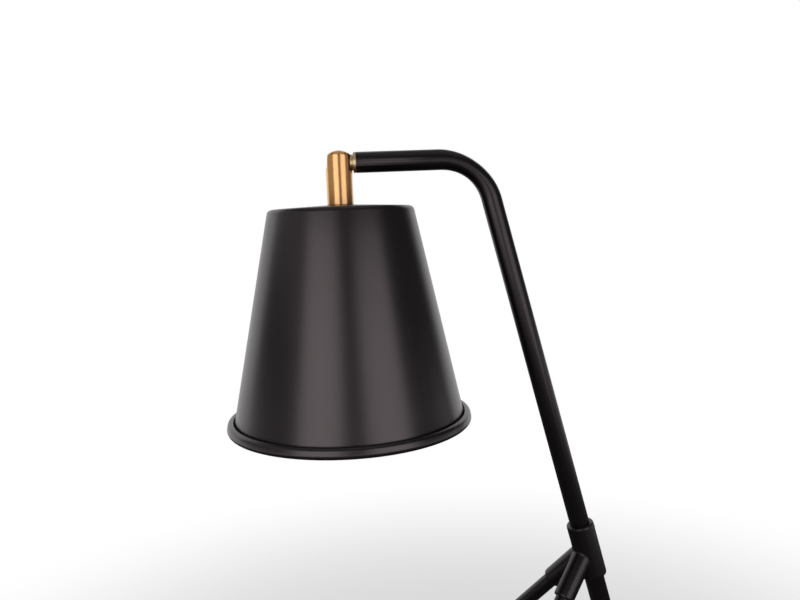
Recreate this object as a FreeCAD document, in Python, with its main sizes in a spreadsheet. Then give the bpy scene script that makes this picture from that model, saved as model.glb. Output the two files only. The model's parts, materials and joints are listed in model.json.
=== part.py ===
import FreeCAD, Part
import math
import os
import Sketcher

# Tripod table lamp. The main tube runs out flat as the arm, bends over and goes down to the
# table as the rear leg. Two straight legs in a hub make the tripod. At the arm's end a brass
# swivel carries a spun shade with a rolled bead, its lamp holder and the bulb.
#
# X runs along the arm, from the shade to the rear leg, Z is up and the table is Z = 0.
# Turned pieces are drawn in the XZ plane and turned about their own Z axis.

os.makedirs("parts", exist_ok=True)
doc = FreeCAD.newDocument("tripod_table_lamp")
sheet = doc.addObject("Spreadsheet::Sheet", "Sizes")
sheet.Label = "Sizes"


class Size:
    """A size, kept as its number and as the text that binds it to the sheet."""

    def __init__(self, text, value):
        self.text = text
        self.value = value

    def __add__(self, other):
        other = as_size(other)
        return Size("(%s + %s)" % (self.text, other.text), self.value + other.value)

    def __sub__(self, other):
        other = as_size(other)
        return Size("(%s - %s)" % (self.text, other.text), self.value - other.value)

    def __mul__(self, other):
        other = as_size(other)
        return Size("%s * %s" % (self.text, other.text), self.value * other.value)

    def __truediv__(self, other):
        other = as_size(other)
        return Size("%s / %s" % (self.text, bracketed(other)), self.value / other.value)

    def __neg__(self):
        return Size("(0 - %s)" % self.text, -self.value)


def bracketed(size):
    return "(%s)" % size.text if " " in size.text else size.text


def as_size(number):
    if isinstance(number, Size):
        return number
    return Size(repr(number), float(number))


def sine(angle):
    return Size("sin(%s)" % angle.text, math.sin(math.radians(angle.value)))


def cosine(angle):
    return Size("cos(%s)" % angle.text, math.cos(math.radians(angle.value)))


def tangent(angle):
    return Size("tan(%s)" % angle.text, math.tan(math.radians(angle.value)))


def root(number):
    return Size("sqrt(%s)" % number.text, math.sqrt(number.value))


def slope(rise, run):
    """The angle in degrees whose tangent is rise / run, for a run above zero."""
    text = "(atan(%s / %s) / 1 deg)" % (rise.text, bracketed(run))
    return Size(text, math.degrees(math.atan2(rise.value, run.value)))


def arc_sine(number):
    return Size("(asin(%s) / 1 deg)" % number.text, math.degrees(math.asin(number.value)))


rows = []


def size(name, number, note):
    """Write one driving dimension into the sheet."""
    row = len(rows) + 1
    rows.append(name)
    sheet.set("A%d" % row, note)
    sheet.set("B%d" % row, repr(number))
    sheet.setAlias("B%d" % row, name)
    return Size("Sizes.%s" % name, float(number))


# Main tube: arm, bend and rear leg
arm_height = size("arm_height", 550.0, "arm axis above the table")
tube_outer = size("tube_outer", 16.0, "main tube, outside diameter")
tube_wall = size("tube_wall", 1.5, "main tube, wall")
arm_reach = size("arm_reach", 76.6, "shade axis to the start of the bend")
bend_radius = size("bend_radius", 41.9, "bend, radius of the tube axis")
stem_lean = size("stem_lean", 14.0, "rear leg, angle from upright in degrees")

# Front legs and their hub
leg_outer = size("leg_outer", 12.0, "front leg, outside diameter")
leg_wall = size("leg_wall", 1.2, "front leg, wall")
hub_height = size("hub_height", 230.0, "point where the leg axes meet, above the table")
foot_ahead = size("foot_ahead", 16.0, "front feet, behind the shade axis")
foot_spread = size("foot_spread", 236.0, "front feet, centre to centre")
hub_length = size("hub_length", 46.0, "hub sleeve, length along the rear leg")
hub_wall = size("hub_wall", 3.0, "hub sleeve, wall")
socket_wall = size("socket_wall", 2.2, "hub socket, wall round a front leg")
socket_start = size("socket_start", 20.5, "leg axes' meeting point to the socket's floor")
socket_depth = size("socket_depth", 24.0, "hub socket, depth")
hub_round = size("hub_round", 1.2, "hub, rounded rims")
fit_gap = size("fit_gap", 0.05, "radial clearance of a seated tube, pin or screw")
grub_diameter = size("grub_diameter", 4.0, "grub screws, diameter")
grub_socket = size("grub_socket", 2.0, "grub screws, hexagon socket across flats")

# Feet and cord inlet
tip_wall = size("tip_wall", 2.2, "foot, rubber round the tube")
tip_cover = size("tip_cover", 16.0, "foot, length of tube covered")
tip_pad = size("tip_pad", 8.0, "foot, tube end to the table along the leg")
tip_round = size("tip_round", 1.2, "foot, rounded top rim")
inlet_height = size("inlet_height", 44.0, "cord inlet above the table")
inlet_hole = size("inlet_hole", 8.1, "cord inlet, hole in the tube")
grommet_bore = size("grommet_bore", 5.4, "grommet, bore")
grommet_flange = size("grommet_flange", 11.4, "grommet, flange diameter")
grommet_proud = size("grommet_proud", 1.5, "grommet, flange standing out of the tube")
grommet_lip = size("grommet_lip", 0.4, "grommet, inner lip beyond the hole")

# Swivel
swivel_outer = size("swivel_outer", 20.4, "swivel body, diameter")
dome_radius = size("dome_radius", 13.5, "swivel body, radius of the domed top")
dome_rise = size("dome_rise", 9.6, "swivel body, top above the arm axis")
spot_diameter = size("spot_diameter", 12.8, "flat at the arm, diameter")
spot_width = size("spot_width", 11.0, "outer flat, diameter")
spot_outer = size("spot_outer", 8.75, "outer flat from the shade axis, level with the arm axis")
spot_taper = size("spot_taper", 5.8, "outer flat, draft towards the domed top in degrees")
spot_inner = size("spot_inner", 7.4, "flat at the arm from the shade axis")
chamber_bore = size("chamber_bore", 10.4, "chamber round the spindle nut, diameter")
swivel_wall = size("swivel_wall", 2.5, "swivel body, wall that the arm bears on")
plug_thick = size("plug_thick", 2.0, "plug, thickness")
plug_face = size("plug_face", 8.2, "plug, outer face from the shade axis")
rub_outer = size("rub_outer", 11.0, "friction washer, diameter")
rub_thick = size("rub_thick", 1.0, "friction washer, thickness")
spindle_outer = size("spindle_outer", 6.0, "hollow spindle, diameter")
spindle_bore = size("spindle_bore", 3.6, "hollow spindle, bore")
spindle_grip = size("spindle_grip", 10.0, "spindle, length held in the arm bush")
washer_thick = size("washer_thick", 0.4, "spring washer, thickness")
nut_outer = size("nut_outer", 9.6, "spindle nut, diameter")
nut_thick = size("nut_thick", 2.0, "spindle nut, thickness")
run_gap = size("run_gap", 0.05, "running clearance along the spindle")
neck_outer = size("neck_outer", 12.4, "arm bush, neck diameter")
neck_length = size("neck_length", 2.55, "arm bush, neck length")
flange_outer = size("flange_outer", 16.0, "arm bush, flange diameter")
flange_thick = size("flange_thick", 2.3, "arm bush, flange thickness")
shank_length = size("shank_length", 20.0, "arm bush, length inside the tube")
stop_radius = size("stop_radius", 4.3, "stop pin from the spindle axis")
stop_diameter = size("stop_diameter", 1.2, "stop pin, diameter")
stop_proud = size("stop_proud", 1.2, "stop pin, length in the groove")
stop_gap = size("stop_gap", 0.12, "stop pin, clearance in the groove")
swing = size("swing", 90.0, "swing of the shade each way in degrees")
passage_bore = size("passage_bore", 6.0, "swivel body, way down for the lead")
nipple_outer = size("nipple_outer", 10.0, "nipple, diameter")
nipple_bore = size("nipple_bore", 7.0, "nipple, bore")
nipple_grip = size("nipple_grip", 18.0, "nipple, length in the swivel body")

# Shade
shade_drop = size("shade_drop", 32.0, "arm axis to the flat seat on the shade")
shade_seat = size("shade_seat", 14.0, "shade, radius of the flat seat")
shade_top = size("shade_top", 55.9, "shade, radius of the top")
shade_crown = size("shade_crown", 2.2, "shade, fall of the top from its seat to its corner")
shade_wall = size("shade_wall", 1.0, "shade, wall")
shade_corner = size("shade_corner", 4.0, "shade, outer corner radius")
bead_radius = size("bead_radius", 3.1, "rolled bead, outer radius")
bead_flat = size("bead_flat", 2.3, "rolled bead, length of its straight sides")
bead_ring = size("bead_ring", 92.45, "rolled bead, radius of its lower centre circle")
bead_drop = size("bead_drop", 199.5, "arm axis to the bead's lower centre circle")
bead_turn = size("bead_turn", 286.0, "rolled bead, angle of the curl in degrees")

# Holder and bulb
clamp_washer = size("clamp_washer", 26.0, "washer under the shade's top, diameter")
clamp_thick = size("clamp_thick", 1.2, "washer under the shade's top, thickness")
clamp_nut = size("clamp_nut", 14.0, "hexagon nut, across flats")
clamp_nut_thick = size("clamp_nut_thick", 3.0, "hexagon nut, thickness")
holder_outer = size("holder_outer", 40.0, "holder, diameter")
holder_wall = size("holder_wall", 2.0, "holder, wall")
collar_outer = size("collar_outer", 17.0, "holder cap, collar diameter")
collar_length = size("collar_length", 8.0, "holder cap, collar length")
cap_length = size("cap_length", 20.0, "holder cap, length with its collar")
skirt_length = size("skirt_length", 35.0, "holder body, length")
block_thick = size("block_thick", 7.0, "contact block, thickness")
shell_bore = size("shell_bore", 27.1, "screw shell, bore")
shell_wall = size("shell_wall", 0.4, "screw shell, wall")
shell_length = size("shell_length", 23.0, "screw shell, length")
contact_outer = size("contact_outer", 8.0, "centre contact, diameter")
contact_thick = size("contact_thick", 1.2, "centre contact, thickness")
terminal_side = size("terminal_side", 6.0, "terminals, side")
terminal_space = size("terminal_space", 17.0, "terminals, centre to centre")
bulb_cap_outer = size("bulb_cap_outer", 26.4, "bulb cap, over the screw")
bulb_cap_length = size("bulb_cap_length", 25.0, "bulb cap, length")
screw_pitch = size("screw_pitch", 3.62, "bulb cap, pitch of the screw")
screw_depth = size("screw_depth", 1.1, "bulb cap, depth of the screw")
bulb_outer = size("bulb_outer", 60.0, "bulb, diameter")
bulb_length = size("bulb_length", 108.0, "bulb, length with its cap")
bulb_neck = size("bulb_neck", 26.0, "bulb, neck diameter")
bulb_flare = size("bulb_flare", 45.0, "bulb, radius between neck and globe")
glass_wall = size("glass_wall", 1.0, "bulb, glass")
lead_outer = size("lead_outer", 3.0, "inner lead, diameter")
lead_bend = size("lead_bend", 3.4, "inner lead, bend at the swivel")

doc.recompute()

# Places that several pieces share
tube_r = tube_outer / 2
leg_r = leg_outer / 2
bead_r = bead_radius
rim_reach = bead_ring + bead_r
tip_r = tube_r + tip_wall
bend_low = arm_height - bend_radius * (as_size(1) - sine(stem_lean))
stem_top_x = arm_reach + bend_radius * cosine(stem_lean)
heel_x = stem_top_x + bend_low * tangent(stem_lean)
shade_x = (rim_reach - heel_x - tip_r / cosine(stem_lean)) / 2
hub_x = shade_x + heel_x - hub_height * tangent(stem_lean)
inlet_x = shade_x + heel_x - inlet_height * tangent(stem_lean)
front_x = shade_x + foot_ahead
toe_run = hub_x - front_x
toe_out = foot_spread / 2
ground_run = root(toe_run * toe_run + toe_out * toe_out)
leg_tilt = slope(ground_run, hub_height)
leg_turn = slope(toe_out, toe_run)
leg_total = root(ground_run * ground_run + hub_height * hub_height)
heel_length = bend_low / cosine(stem_lean)


def bind(thing, prop, value):
    """Give a property its number and tie it to the sheet."""
    value = as_size(value)
    setattr(thing, prop, value.value)
    thing.setExpression(prop, value.text)


def place(thing, base, spin="rotation(vector(0; 0; 1); 0)"):
    """Put a piece at a point, turned as the rotation text says."""
    where = "; ".join(as_size(c).text for c in base)
    thing.setExpression("Placement", "placement(vector(%s); %s)" % (where, spin))


def turned_by(axis, angle):
    return "rotation(vector(%s); %s)" % (axis, as_size(angle).text)


def new_body(label):
    body = doc.addObject("PartDesign::Body", label)
    body.Label = label
    return body


def new_sketch(body, role, name, lift=None):
    """A sketch on one of the body's own planes, lifted off it by a size."""
    sketch = body.newObject("Sketcher::SketchObject", name)
    plane = [f for f in body.Origin.OriginFeatures if f.Role == role][0]
    sketch.AttachmentSupport = [(plane, "")]
    sketch.MapMode = "FlatFace"
    if lift is not None:
        sketch.setExpression("AttachmentOffset.Base.z", as_size(lift).text)
    return sketch


def hold(sketch, kind, where, value):
    """One distance of a sketch, tied to the sheet."""
    value = as_size(value)
    index = sketch.addConstraint(Sketcher.Constraint(kind, *where, value.value))
    sketch.setExpression("Constraints[%d]" % index, value.text)


def draw_outline(sketch, points, arcs=None):
    """A closed outline through the points. arcs maps the number of a point to the arc that
    leaves it, as (centre x, centre y, radius, anticlockwise)."""
    arcs = arcs or {}
    points = [(as_size(x), as_size(y)) for x, y in points]
    count = len(points)
    first = sketch.GeometryCount
    heads = []
    tails = []
    for i in range(count):
        x1, y1 = points[i]
        x2, y2 = points[(i + 1) % count]
        start = FreeCAD.Vector(x1.value, y1.value, 0)
        end = FreeCAD.Vector(x2.value, y2.value, 0)
        if i in arcs:
            cx, cy, radius, anticlockwise = arcs[i]
            centre = FreeCAD.Vector(as_size(cx).value, as_size(cy).value, 0)
            one = start if anticlockwise else end
            two = end if anticlockwise else start
            low = math.atan2(one.y - centre.y, one.x - centre.x)
            high = math.atan2(two.y - centre.y, two.x - centre.x)
            if high <= low:
                high = high + 2 * math.pi
            circle = Part.Circle(centre, FreeCAD.Vector(0, 0, 1), as_size(radius).value)
            sketch.addGeometry(Part.ArcOfCircle(circle, low, high), False)
            heads.append(1 if anticlockwise else 2)
            tails.append(2 if anticlockwise else 1)
        else:
            sketch.addGeometry(Part.LineSegment(start, end), False)
            heads.append(1)
            tails.append(2)
    for i in range(count):
        after = (i + 1) % count
        join = Sketcher.Constraint("Coincident", first + i, tails[i], first + after, heads[after])
        sketch.addConstraint(join)
    for i in range(count):
        x, y = points[i]
        corner = (first + i, heads[i])
        if x.text in ("0", "0.0"):
            sketch.addConstraint(Sketcher.Constraint("PointOnObject", *corner, -2))
        else:
            hold(sketch, "DistanceX", (-1, 1) + corner, x)
        if y.text in ("0", "0.0"):
            sketch.addConstraint(Sketcher.Constraint("PointOnObject", *corner, -1))
        else:
            hold(sketch, "DistanceY", (-1, 1) + corner, y)
        if i in arcs:
            hold(sketch, "Radius", (first + i,), arcs[i][2])


def draw_circle(sketch, x, y, radius):
    x = as_size(x)
    y = as_size(y)
    radius = as_size(radius)
    centre = FreeCAD.Vector(x.value, y.value, 0)
    circle = Part.Circle(centre, FreeCAD.Vector(0, 0, 1), radius.value)
    index = sketch.addGeometry(circle, False)
    if x.text in ("0", "0.0"):
        sketch.addConstraint(Sketcher.Constraint("PointOnObject", index, 3, -2))
    else:
        hold(sketch, "DistanceX", (-1, 1, index, 3), x)
    if y.text in ("0", "0.0"):
        sketch.addConstraint(Sketcher.Constraint("PointOnObject", index, 3, -1))
    else:
        hold(sketch, "DistanceY", (-1, 1, index, 3), y)
    hold(sketch, "Radius", (index,), radius)


def turn(body, name, points, arcs=None, cut=False, angle=None):
    """Turn an outline of (radius, height) points about the body's Z axis."""
    sketch = new_sketch(body, "XZ_Plane", name + "_outline")
    draw_outline(sketch, points, arcs)
    kind = "PartDesign::Groove" if cut else "PartDesign::Revolution"
    feature = body.newObject(kind, name)
    feature.Profile = sketch
    feature.ReferenceAxis = (sketch, ["V_Axis"])
    feature.Angle = 360
    if angle is not None:
        feature.Midplane = True
        bind(feature, "Angle", angle)
    sketch.Visibility = False
    return feature


def turned_body(label, points, arcs=None):
    body = new_body(label)
    turn(body, label + "_form", points, arcs)
    return body


def soften(body, rims, radius, kind="PartDesign::Fillet"):
    """Round or bevel the circular edges at the (radius, height) rims of a turned body."""
    doc.recompute()
    names = []
    for index, edge in enumerate(body.Shape.Edges):
        if edge.Degenerated or not isinstance(edge.Curve, Part.Circle):
            continue
        centre = body.Placement.inverse().multVec(edge.Curve.Center)
        for rim_r, rim_z in rims:
            near_r = abs(edge.Curve.Radius - as_size(rim_r).value) < 0.01
            if near_r and abs(centre.z - as_size(rim_z).value) < 0.01:
                names.append("Edge%d" % (index + 1))
    feature = body.newObject(kind, body.Label + "_edge%d" % len(body.Group))
    feature.Base = (body.Group[-2], sorted(set(names)))
    bind(feature, "Size" if kind.endswith("Chamfer") else "Radius", radius)
    return feature


def cylinder(name, radius, height, base=None, spin="rotation(vector(0; 0; 1); 0)"):
    thing = doc.addObject("Part::Cylinder", name)
    bind(thing, "Radius", radius)
    bind(thing, "Height", height)
    place(thing, base or (0, 0, 0), spin)
    return thing


def cut(label, base, tool):
    thing = doc.addObject("Part::Cut", label)
    thing.Base = base
    thing.Tool = tool
    thing.Label = label
    return thing


def fuse(label, pieces):
    thing = doc.addObject("Part::MultiFuse", label)
    thing.Shapes = pieces
    thing.Label = label
    return thing


def group(label, pieces):
    thing = doc.addObject("Part::Compound", label)
    thing.Links = pieces
    thing.Label = label
    return thing


nodes = []
ALONG_X = turned_by("0; 1; 0", 90)
DOWN_STEM = turned_by("0; 1; 0", as_size(180) - stem_lean)
OUT_OF_STEM = turned_by("0; 1; 0", as_size(90) - stem_lean)
LEFT_LEG = turned_by("0; 0; 1", as_size(180) + leg_turn) + " * "
LEFT_LEG = LEFT_LEG + turned_by("0; 1; 0", as_size(180) - leg_tilt)
RIGHT_LEG = turned_by("0; 0; 1", as_size(180) - leg_turn) + " * "
RIGHT_LEG = RIGHT_LEG + turned_by("0; 1; 0", as_size(180) - leg_tilt)
HEAD = (shade_x, 0, arm_height)

# ---- Main tube -------------------------------------------------------------------------
# One length of round tube: level arm, one bend, straight rear leg. The axis is drawn in the
# XZ plane and the ring section is carried along it.

rub_x = spot_inner + rub_thick
neck_x = rub_x + run_gap
flange_x = neck_x + neck_length
tube_x = flange_x + flange_thick
heel_end_x = heel_x - tip_pad * sine(stem_lean)
heel_end_z = tip_pad * cosine(stem_lean)


def draw_tube_axis(sketch, start_x, end_x, end_z):
    """Arm line, bend arc and stem line, from the given start to the given end."""
    top = arm_height
    spots = [
        (shade_x + start_x, top),
        (shade_x + arm_reach, top),
        (shade_x + stem_top_x, bend_low),
        (shade_x + end_x, end_z),
    ]
    flat = [FreeCAD.Vector(x.value, as_size(z).value, 0) for x, z in spots]
    centre = FreeCAD.Vector(flat[1].x, flat[1].y - bend_radius.value, 0)
    sketch.addGeometry(Part.LineSegment(flat[0], flat[1]), False)
    circle = Part.Circle(centre, FreeCAD.Vector(0, 0, 1), bend_radius.value)
    low = math.radians(stem_lean.value)
    sketch.addGeometry(Part.ArcOfCircle(circle, low, math.pi / 2), False)
    sketch.addGeometry(Part.LineSegment(flat[2], flat[3]), False)
    sketch.addConstraint(Sketcher.Constraint("Coincident", 0, 2, 1, 2))
    sketch.addConstraint(Sketcher.Constraint("Coincident", 1, 1, 2, 1))
    for corner, (x, z) in zip(((0, 1), (0, 2), (2, 1), (2, 2)), spots):
        hold(sketch, "DistanceX", (-1, 1) + corner, x)
        hold(sketch, "DistanceY", (-1, 1) + corner, z)
    hold(sketch, "Radius", (1,), bend_radius)


def swept_body(label, start_x, end_x, end_z, radii):
    """A round bar or tube carried along the arm, the bend and the stem."""
    body = new_body(label)
    axis = new_sketch(body, "XZ_Plane", label + "_axis")
    draw_tube_axis(axis, start_x, end_x, end_z)
    section = new_sketch(body, "YZ_Plane", label + "_section", shade_x + start_x)
    for radius in radii:
        draw_circle(section, 0, arm_height, radius)
    pipe = body.newObject("PartDesign::AdditivePipe", label + "_pipe")
    pipe.Profile = section
    pipe.Spine = axis
    axis.Visibility = False
    section.Visibility = False
    return body


main_tube = swept_body("main_tube", tube_x, heel_end_x, heel_end_z, [tube_r, tube_r - tube_wall])
inlet_drill = main_tube.newObject("PartDesign::SubtractiveCylinder", "inlet_drill")
bind(inlet_drill, "Radius", inlet_hole / 2)
bind(inlet_drill, "Height", tube_outer)
place(inlet_drill, (inlet_x, 0, inlet_height), OUT_OF_STEM)
nodes.append(main_tube)

# ---- Tripod hub ------------------------------------------------------------------------
# A sleeve on the rear leg with a blind socket for each front leg. The sockets' axes meet
# the sleeve's axis in one point.

hub_at = (hub_x, 0, hub_height)
sleeve_r = tube_r + fit_gap + hub_wall
socket_r = leg_r + fit_gap + socket_wall
socket_end = socket_start + socket_depth
sleeve = turned_body("hub_sleeve", [
    (0, -hub_length / 2),
    (sleeve_r, -hub_length / 2),
    (sleeve_r, hub_length / 2),
    (0, hub_length / 2),
])
soften(sleeve, [(sleeve_r, hub_length / 2), (sleeve_r, -hub_length / 2)], hub_round)
place(sleeve, hub_at, DOWN_STEM)
sockets = []
socket_bores = []
for side, spin in (("left", LEFT_LEG), ("right", RIGHT_LEG)):
    socket = turned_body("hub_socket_" + side, [
        (0, 0), (socket_r, 0), (socket_r, socket_end), (0, socket_end),
    ])
    soften(socket, [(socket_r, socket_end)], hub_round)
    place(socket, hub_at, spin)
    sockets.append(socket)
    bore = turned_body("hub_bore_" + side, [
        (0, socket_start),
        (leg_r + fit_gap, socket_start),
        (leg_r + fit_gap, socket_end + hub_round),
        (0, socket_end + hub_round),
    ])
    place(bore, hub_at, spin)
    socket_bores.append(bore)
stem_bore = turned_body("hub_stem_bore", [
    (0, -hub_length),
    (tube_r + fit_gap, -hub_length),
    (tube_r + fit_gap, hub_length),
    (0, hub_length),
])
place(stem_bore, hub_at, DOWN_STEM)

# One grub screw at the back of the sleeve, above the sockets, and one under each socket.
grub_r = grub_diameter / 2
sleeve_grub = hub_length / 2 - hub_round - grub_diameter
socket_grub = socket_end - hub_round - grub_diameter
grub_holes = []
grubs = []
spots = [
    ("sleeve", tube_r, sleeve_r, sleeve_grub, OUT_OF_STEM, -1),
    ("left", leg_r, socket_r, socket_grub, LEFT_LEG, 1),
    ("right", leg_r, socket_r, socket_grub, RIGHT_LEG, 1),
]


def along_socket(spin, distance):
    """The text of a point on a leg's axis, at a distance from the hub point."""
    return "%s * vector(0; 0; %s)" % (spin, as_size(distance).text)


for name, inner, outer, along, spin, way in spots:
    if way < 0:
        base_x = hub_x - along * sine(stem_lean)
        base_z = hub_height + along * cosine(stem_lean)
        where = "vector(%s; 0; %s)" % (base_x.text, base_z.text)
        facing = spin
    else:
        where = "vector(%s; 0; %s) + %s" % (hub_x.text, hub_height.text, along_socket(spin, along))
        facing = spin + " * " + turned_by("0; 1; 0", 90)
    hole = turned_body("grub_hole_" + name, [
        (0, 0), (grub_r + fit_gap, 0), (grub_r + fit_gap, outer + hub_round), (0, outer + hub_round),
    ])
    hole.setExpression("Placement", "placement(%s; %s)" % (where, facing))
    grub_holes.append(hole)
    screw = new_body("grub_" + name)
    floor = inner + fit_gap
    turn(screw, "grub_form_" + name, [(0, floor), (grub_r, floor), (grub_r, outer), (0, outer)])
    key = new_sketch(screw, "XY_Plane", "grub_key_" + name, outer)
    corner = grub_socket / 2 / cosine(as_size(30))
    draw_outline(key, [
        (corner * cosine(as_size(60.0 * k)), corner * sine(as_size(60.0 * k))) for k in range(6)
    ])
    pocket = screw.newObject("PartDesign::Pocket", "grub_pocket_" + name)
    pocket.Profile = key
    bind(pocket, "Length", (outer - floor) / 2)
    screw.setExpression("Placement", "placement(%s; %s)" % (where, facing))
    grubs.append(screw)
hub_outside = fuse("hub_outside", [sleeve] + sockets)
hub_inside = fuse("hub_inside", [stem_bore] + socket_bores + grub_holes)
leg_hub = cut("leg_hub", hub_outside, hub_inside)
nodes.append(leg_hub)
nodes.append(group("hub_grub_screws", grubs))

# ---- Front legs ------------------------------------------------------------------------
for label, spin in (("front_leg_left", LEFT_LEG), ("front_leg_right", RIGHT_LEG)):
    leg = turned_body(label, [
        (leg_r - leg_wall, socket_start),
        (leg_r, socket_start),
        (leg_r, leg_total - tip_pad),
        (leg_r - leg_wall, leg_total - tip_pad),
    ])
    place(leg, hub_at, spin)
    nodes.append(leg)

# ---- Feet ------------------------------------------------------------------------------
# Rubber tips pushed over the tube ends and cut level with the table.


def foot(label, pipe_r, total, base, spin, toe_x, toe_y):
    inner = pipe_r + fit_gap
    outer = pipe_r + tip_wall
    top = total - tip_pad - tip_cover
    tip = turned_body(label + "_tip", [
        (inner, top),
        (outer, top),
        (outer, total + outer),
        (0, total + outer),
        (0, total - tip_pad),
        (inner, total - tip_pad),
    ])
    soften(tip, [(outer, top)], tip_round)
    place(tip, base, spin)
    below = doc.addObject("Part::Box", label + "_below")
    span = as_size(4) * (outer + tip_pad)
    bind(below, "Length", span)
    bind(below, "Width", span)
    bind(below, "Height", span)
    place(below, (toe_x - span / 2, as_size(toe_y) - span / 2, -span))
    return cut(label, tip, below)


stem_top = (shade_x + stem_top_x, 0, bend_low)
nodes.append(foot("foot_rear", tube_r, heel_length, stem_top, DOWN_STEM, shade_x + heel_x, 0))
nodes.append(foot("foot_left", leg_r, leg_total, hub_at, LEFT_LEG, front_x, -toe_out))
nodes.append(foot("foot_right", leg_r, leg_total, hub_at, RIGHT_LEG, front_x, toe_out))

# ---- Cord inlet ------------------------------------------------------------------------
# A rubber grommet in the hole at the back of the rear leg. Its flange lies on the round tube.
inlet_at = (inlet_x, 0, inlet_height)
saddle_top = tube_r + grommet_proud
flange = turned_body("grommet_head", [
    (0, tube_r / 2),
    (grommet_flange / 2, tube_r / 2),
    (grommet_flange / 2, saddle_top),
    (0, saddle_top),
])
soften(flange, [(grommet_flange / 2, saddle_top)], grommet_proud / 2)
place(flange, inlet_at, OUT_OF_STEM)
stem_side = cylinder("grommet_saddle", tube_r, tube_outer * 2, (0, 0, 0))
lower = "vector(%s; 0; %s)" % (inlet_x.text, inlet_height.text)
back = "%s * vector(0; 0; %s)" % (DOWN_STEM, (-tube_outer).text)
stem_side.setExpression("Placement", "placement(%s + %s; %s)" % (lower, back, DOWN_STEM))
inner_skin = tube_r - tube_wall
lip_r = inlet_hole / 2 + grommet_lip
lip_z = root(inner_skin * inner_skin - lip_r * lip_r) - fit_gap
neck_r = inlet_hole / 2 - fit_gap
plug_in = turned_body("grommet_neck", [
    (0, lip_z - tube_wall),
    (lip_r, lip_z - tube_wall),
    (lip_r, lip_z),
    (neck_r, lip_z),
    (neck_r, saddle_top - grommet_proud / 2),
    (0, saddle_top - grommet_proud / 2),
])
place(plug_in, inlet_at, OUT_OF_STEM)
rubber = fuse("grommet_rubber", [cut("grommet_collar", flange, stem_side), plug_in])
cord_way = cylinder("grommet_way", grommet_bore / 2, tube_outer, inlet_at, OUT_OF_STEM)
nodes.append(cut("cord_grommet", rubber, cord_way))

# ---- Arm end: flanged bush, hollow spindle, spring washer and nut ------------------------
# The neck bears on the swivel body's flat. An arc groove in its face lets the stop pin swing.
bush = new_body("arm_end_bush")
hole_r = spindle_outer / 2 + fit_gap
shank_r = tube_r - tube_wall - fit_gap
turn(bush, "bush_form", [
    (hole_r, 0),
    (neck_outer / 2, 0),
    (neck_outer / 2, neck_length),
    (flange_outer / 2, neck_length),
    (flange_outer / 2, neck_length + flange_thick),
    (shank_r, neck_length + flange_thick),
    (shank_r, neck_length + flange_thick + shank_length),
    (hole_r, neck_length + flange_thick + shank_length),
])
bush_edge = size("bush_edge", 0.5, "arm bush, rounded flange edges")
soften(bush, [
    (flange_outer / 2, neck_length),
    (flange_outer / 2, neck_length + flange_thick),
], bush_edge)
doc.recompute()
slot_in = stop_radius - stop_diameter / 2 - stop_gap
slot_out = stop_radius + stop_diameter / 2 + stop_gap
pin_half = arc_sine((stop_diameter / 2 + stop_gap) / stop_radius)
slot_deep = stop_proud - run_gap + stop_gap
turn(bush, "bush_stop_groove", [
    (slot_in, 0), (slot_out, 0), (slot_out, slot_deep), (slot_in, slot_deep),
], cut=True, angle=(swing + pin_half) * 2)
place(bush, (shade_x + neck_x, 0, arm_height), ALONG_X)
nodes.append(bush)

wall_in = spot_inner - swivel_wall
nut_x = wall_in - washer_thick - nut_thick - run_gap * 2
spindle = turned_body("swivel_spindle", [
    (spindle_bore / 2, nut_x),
    (spindle_outer / 2, nut_x),
    (spindle_outer / 2, neck_x + spindle_grip),
    (spindle_bore / 2, neck_x + spindle_grip),
])
place(spindle, HEAD, ALONG_X)
nodes.append(spindle)
spindle_nut = turned_body("spindle_nut", [
    (hole_r, nut_x),
    (nut_outer / 2, nut_x),
    (nut_outer / 2, nut_x + nut_thick),
    (hole_r, nut_x + nut_thick),
])
nut_edge = size("nut_edge", 0.4, "spindle nut, bevelled rim")
soften(spindle_nut, [(nut_outer / 2, nut_x)], nut_edge, "PartDesign::Chamfer")
place(spindle_nut, HEAD, ALONG_X)
nodes.append(spindle_nut)
washer_x = nut_x + nut_thick + run_gap
spring_washer = turned_body("spring_washer", [
    (hole_r, washer_x),
    (nut_outer / 2, washer_x),
    (nut_outer / 2, washer_x + washer_thick),
    (hole_r, washer_x + washer_thick),
])
place(spring_washer, HEAD, ALONG_X)
nodes.append(spring_washer)

# ---- Swivel body -----------------------------------------------------------------------
# Turned brass with a domed top and a flat on each side. A chamber bored from the outer side
# holds the nut, the arm's spindle passes through the other wall, and a hole leads down.
swivel_r = swivel_outer / 2
dome_centre = dome_rise - dome_radius
dome_edge = dome_centre + root(dome_radius * dome_radius - swivel_r * swivel_r)
swivel = new_body("swivel_body")
turn(swivel, "swivel_form", [
    (0, -shade_drop),
    (swivel_r, -shade_drop),
    (swivel_r, dome_edge),
    (0, dome_rise),
], {2: (0, dome_centre, dome_radius, True)})
turn(swivel, "swivel_nipple_bore", [
    (0, -shade_drop),
    (nipple_outer / 2 + fit_gap, -shade_drop),
    (nipple_outer / 2 + fit_gap, nipple_grip - shade_drop),
    (passage_bore / 2, nipple_grip - shade_drop),
    (passage_bore / 2, 0),
    (0, 0),
], cut=True)
swivel_edge = size("swivel_edge", 0.5, "swivel body, bevelled lower rim")
soften(swivel, [(swivel_r, -shade_drop)], swivel_edge, "PartDesign::Chamfer")


def cross_bore(name, radius, start, length):
    """A hole along X through the swivel body."""
    drill = swivel.newObject("PartDesign::SubtractiveCylinder", name)
    bind(drill, "Radius", radius)
    bind(drill, "Height", length)
    place(drill, (start, 0, 0), ALONG_X)
    return drill


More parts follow.
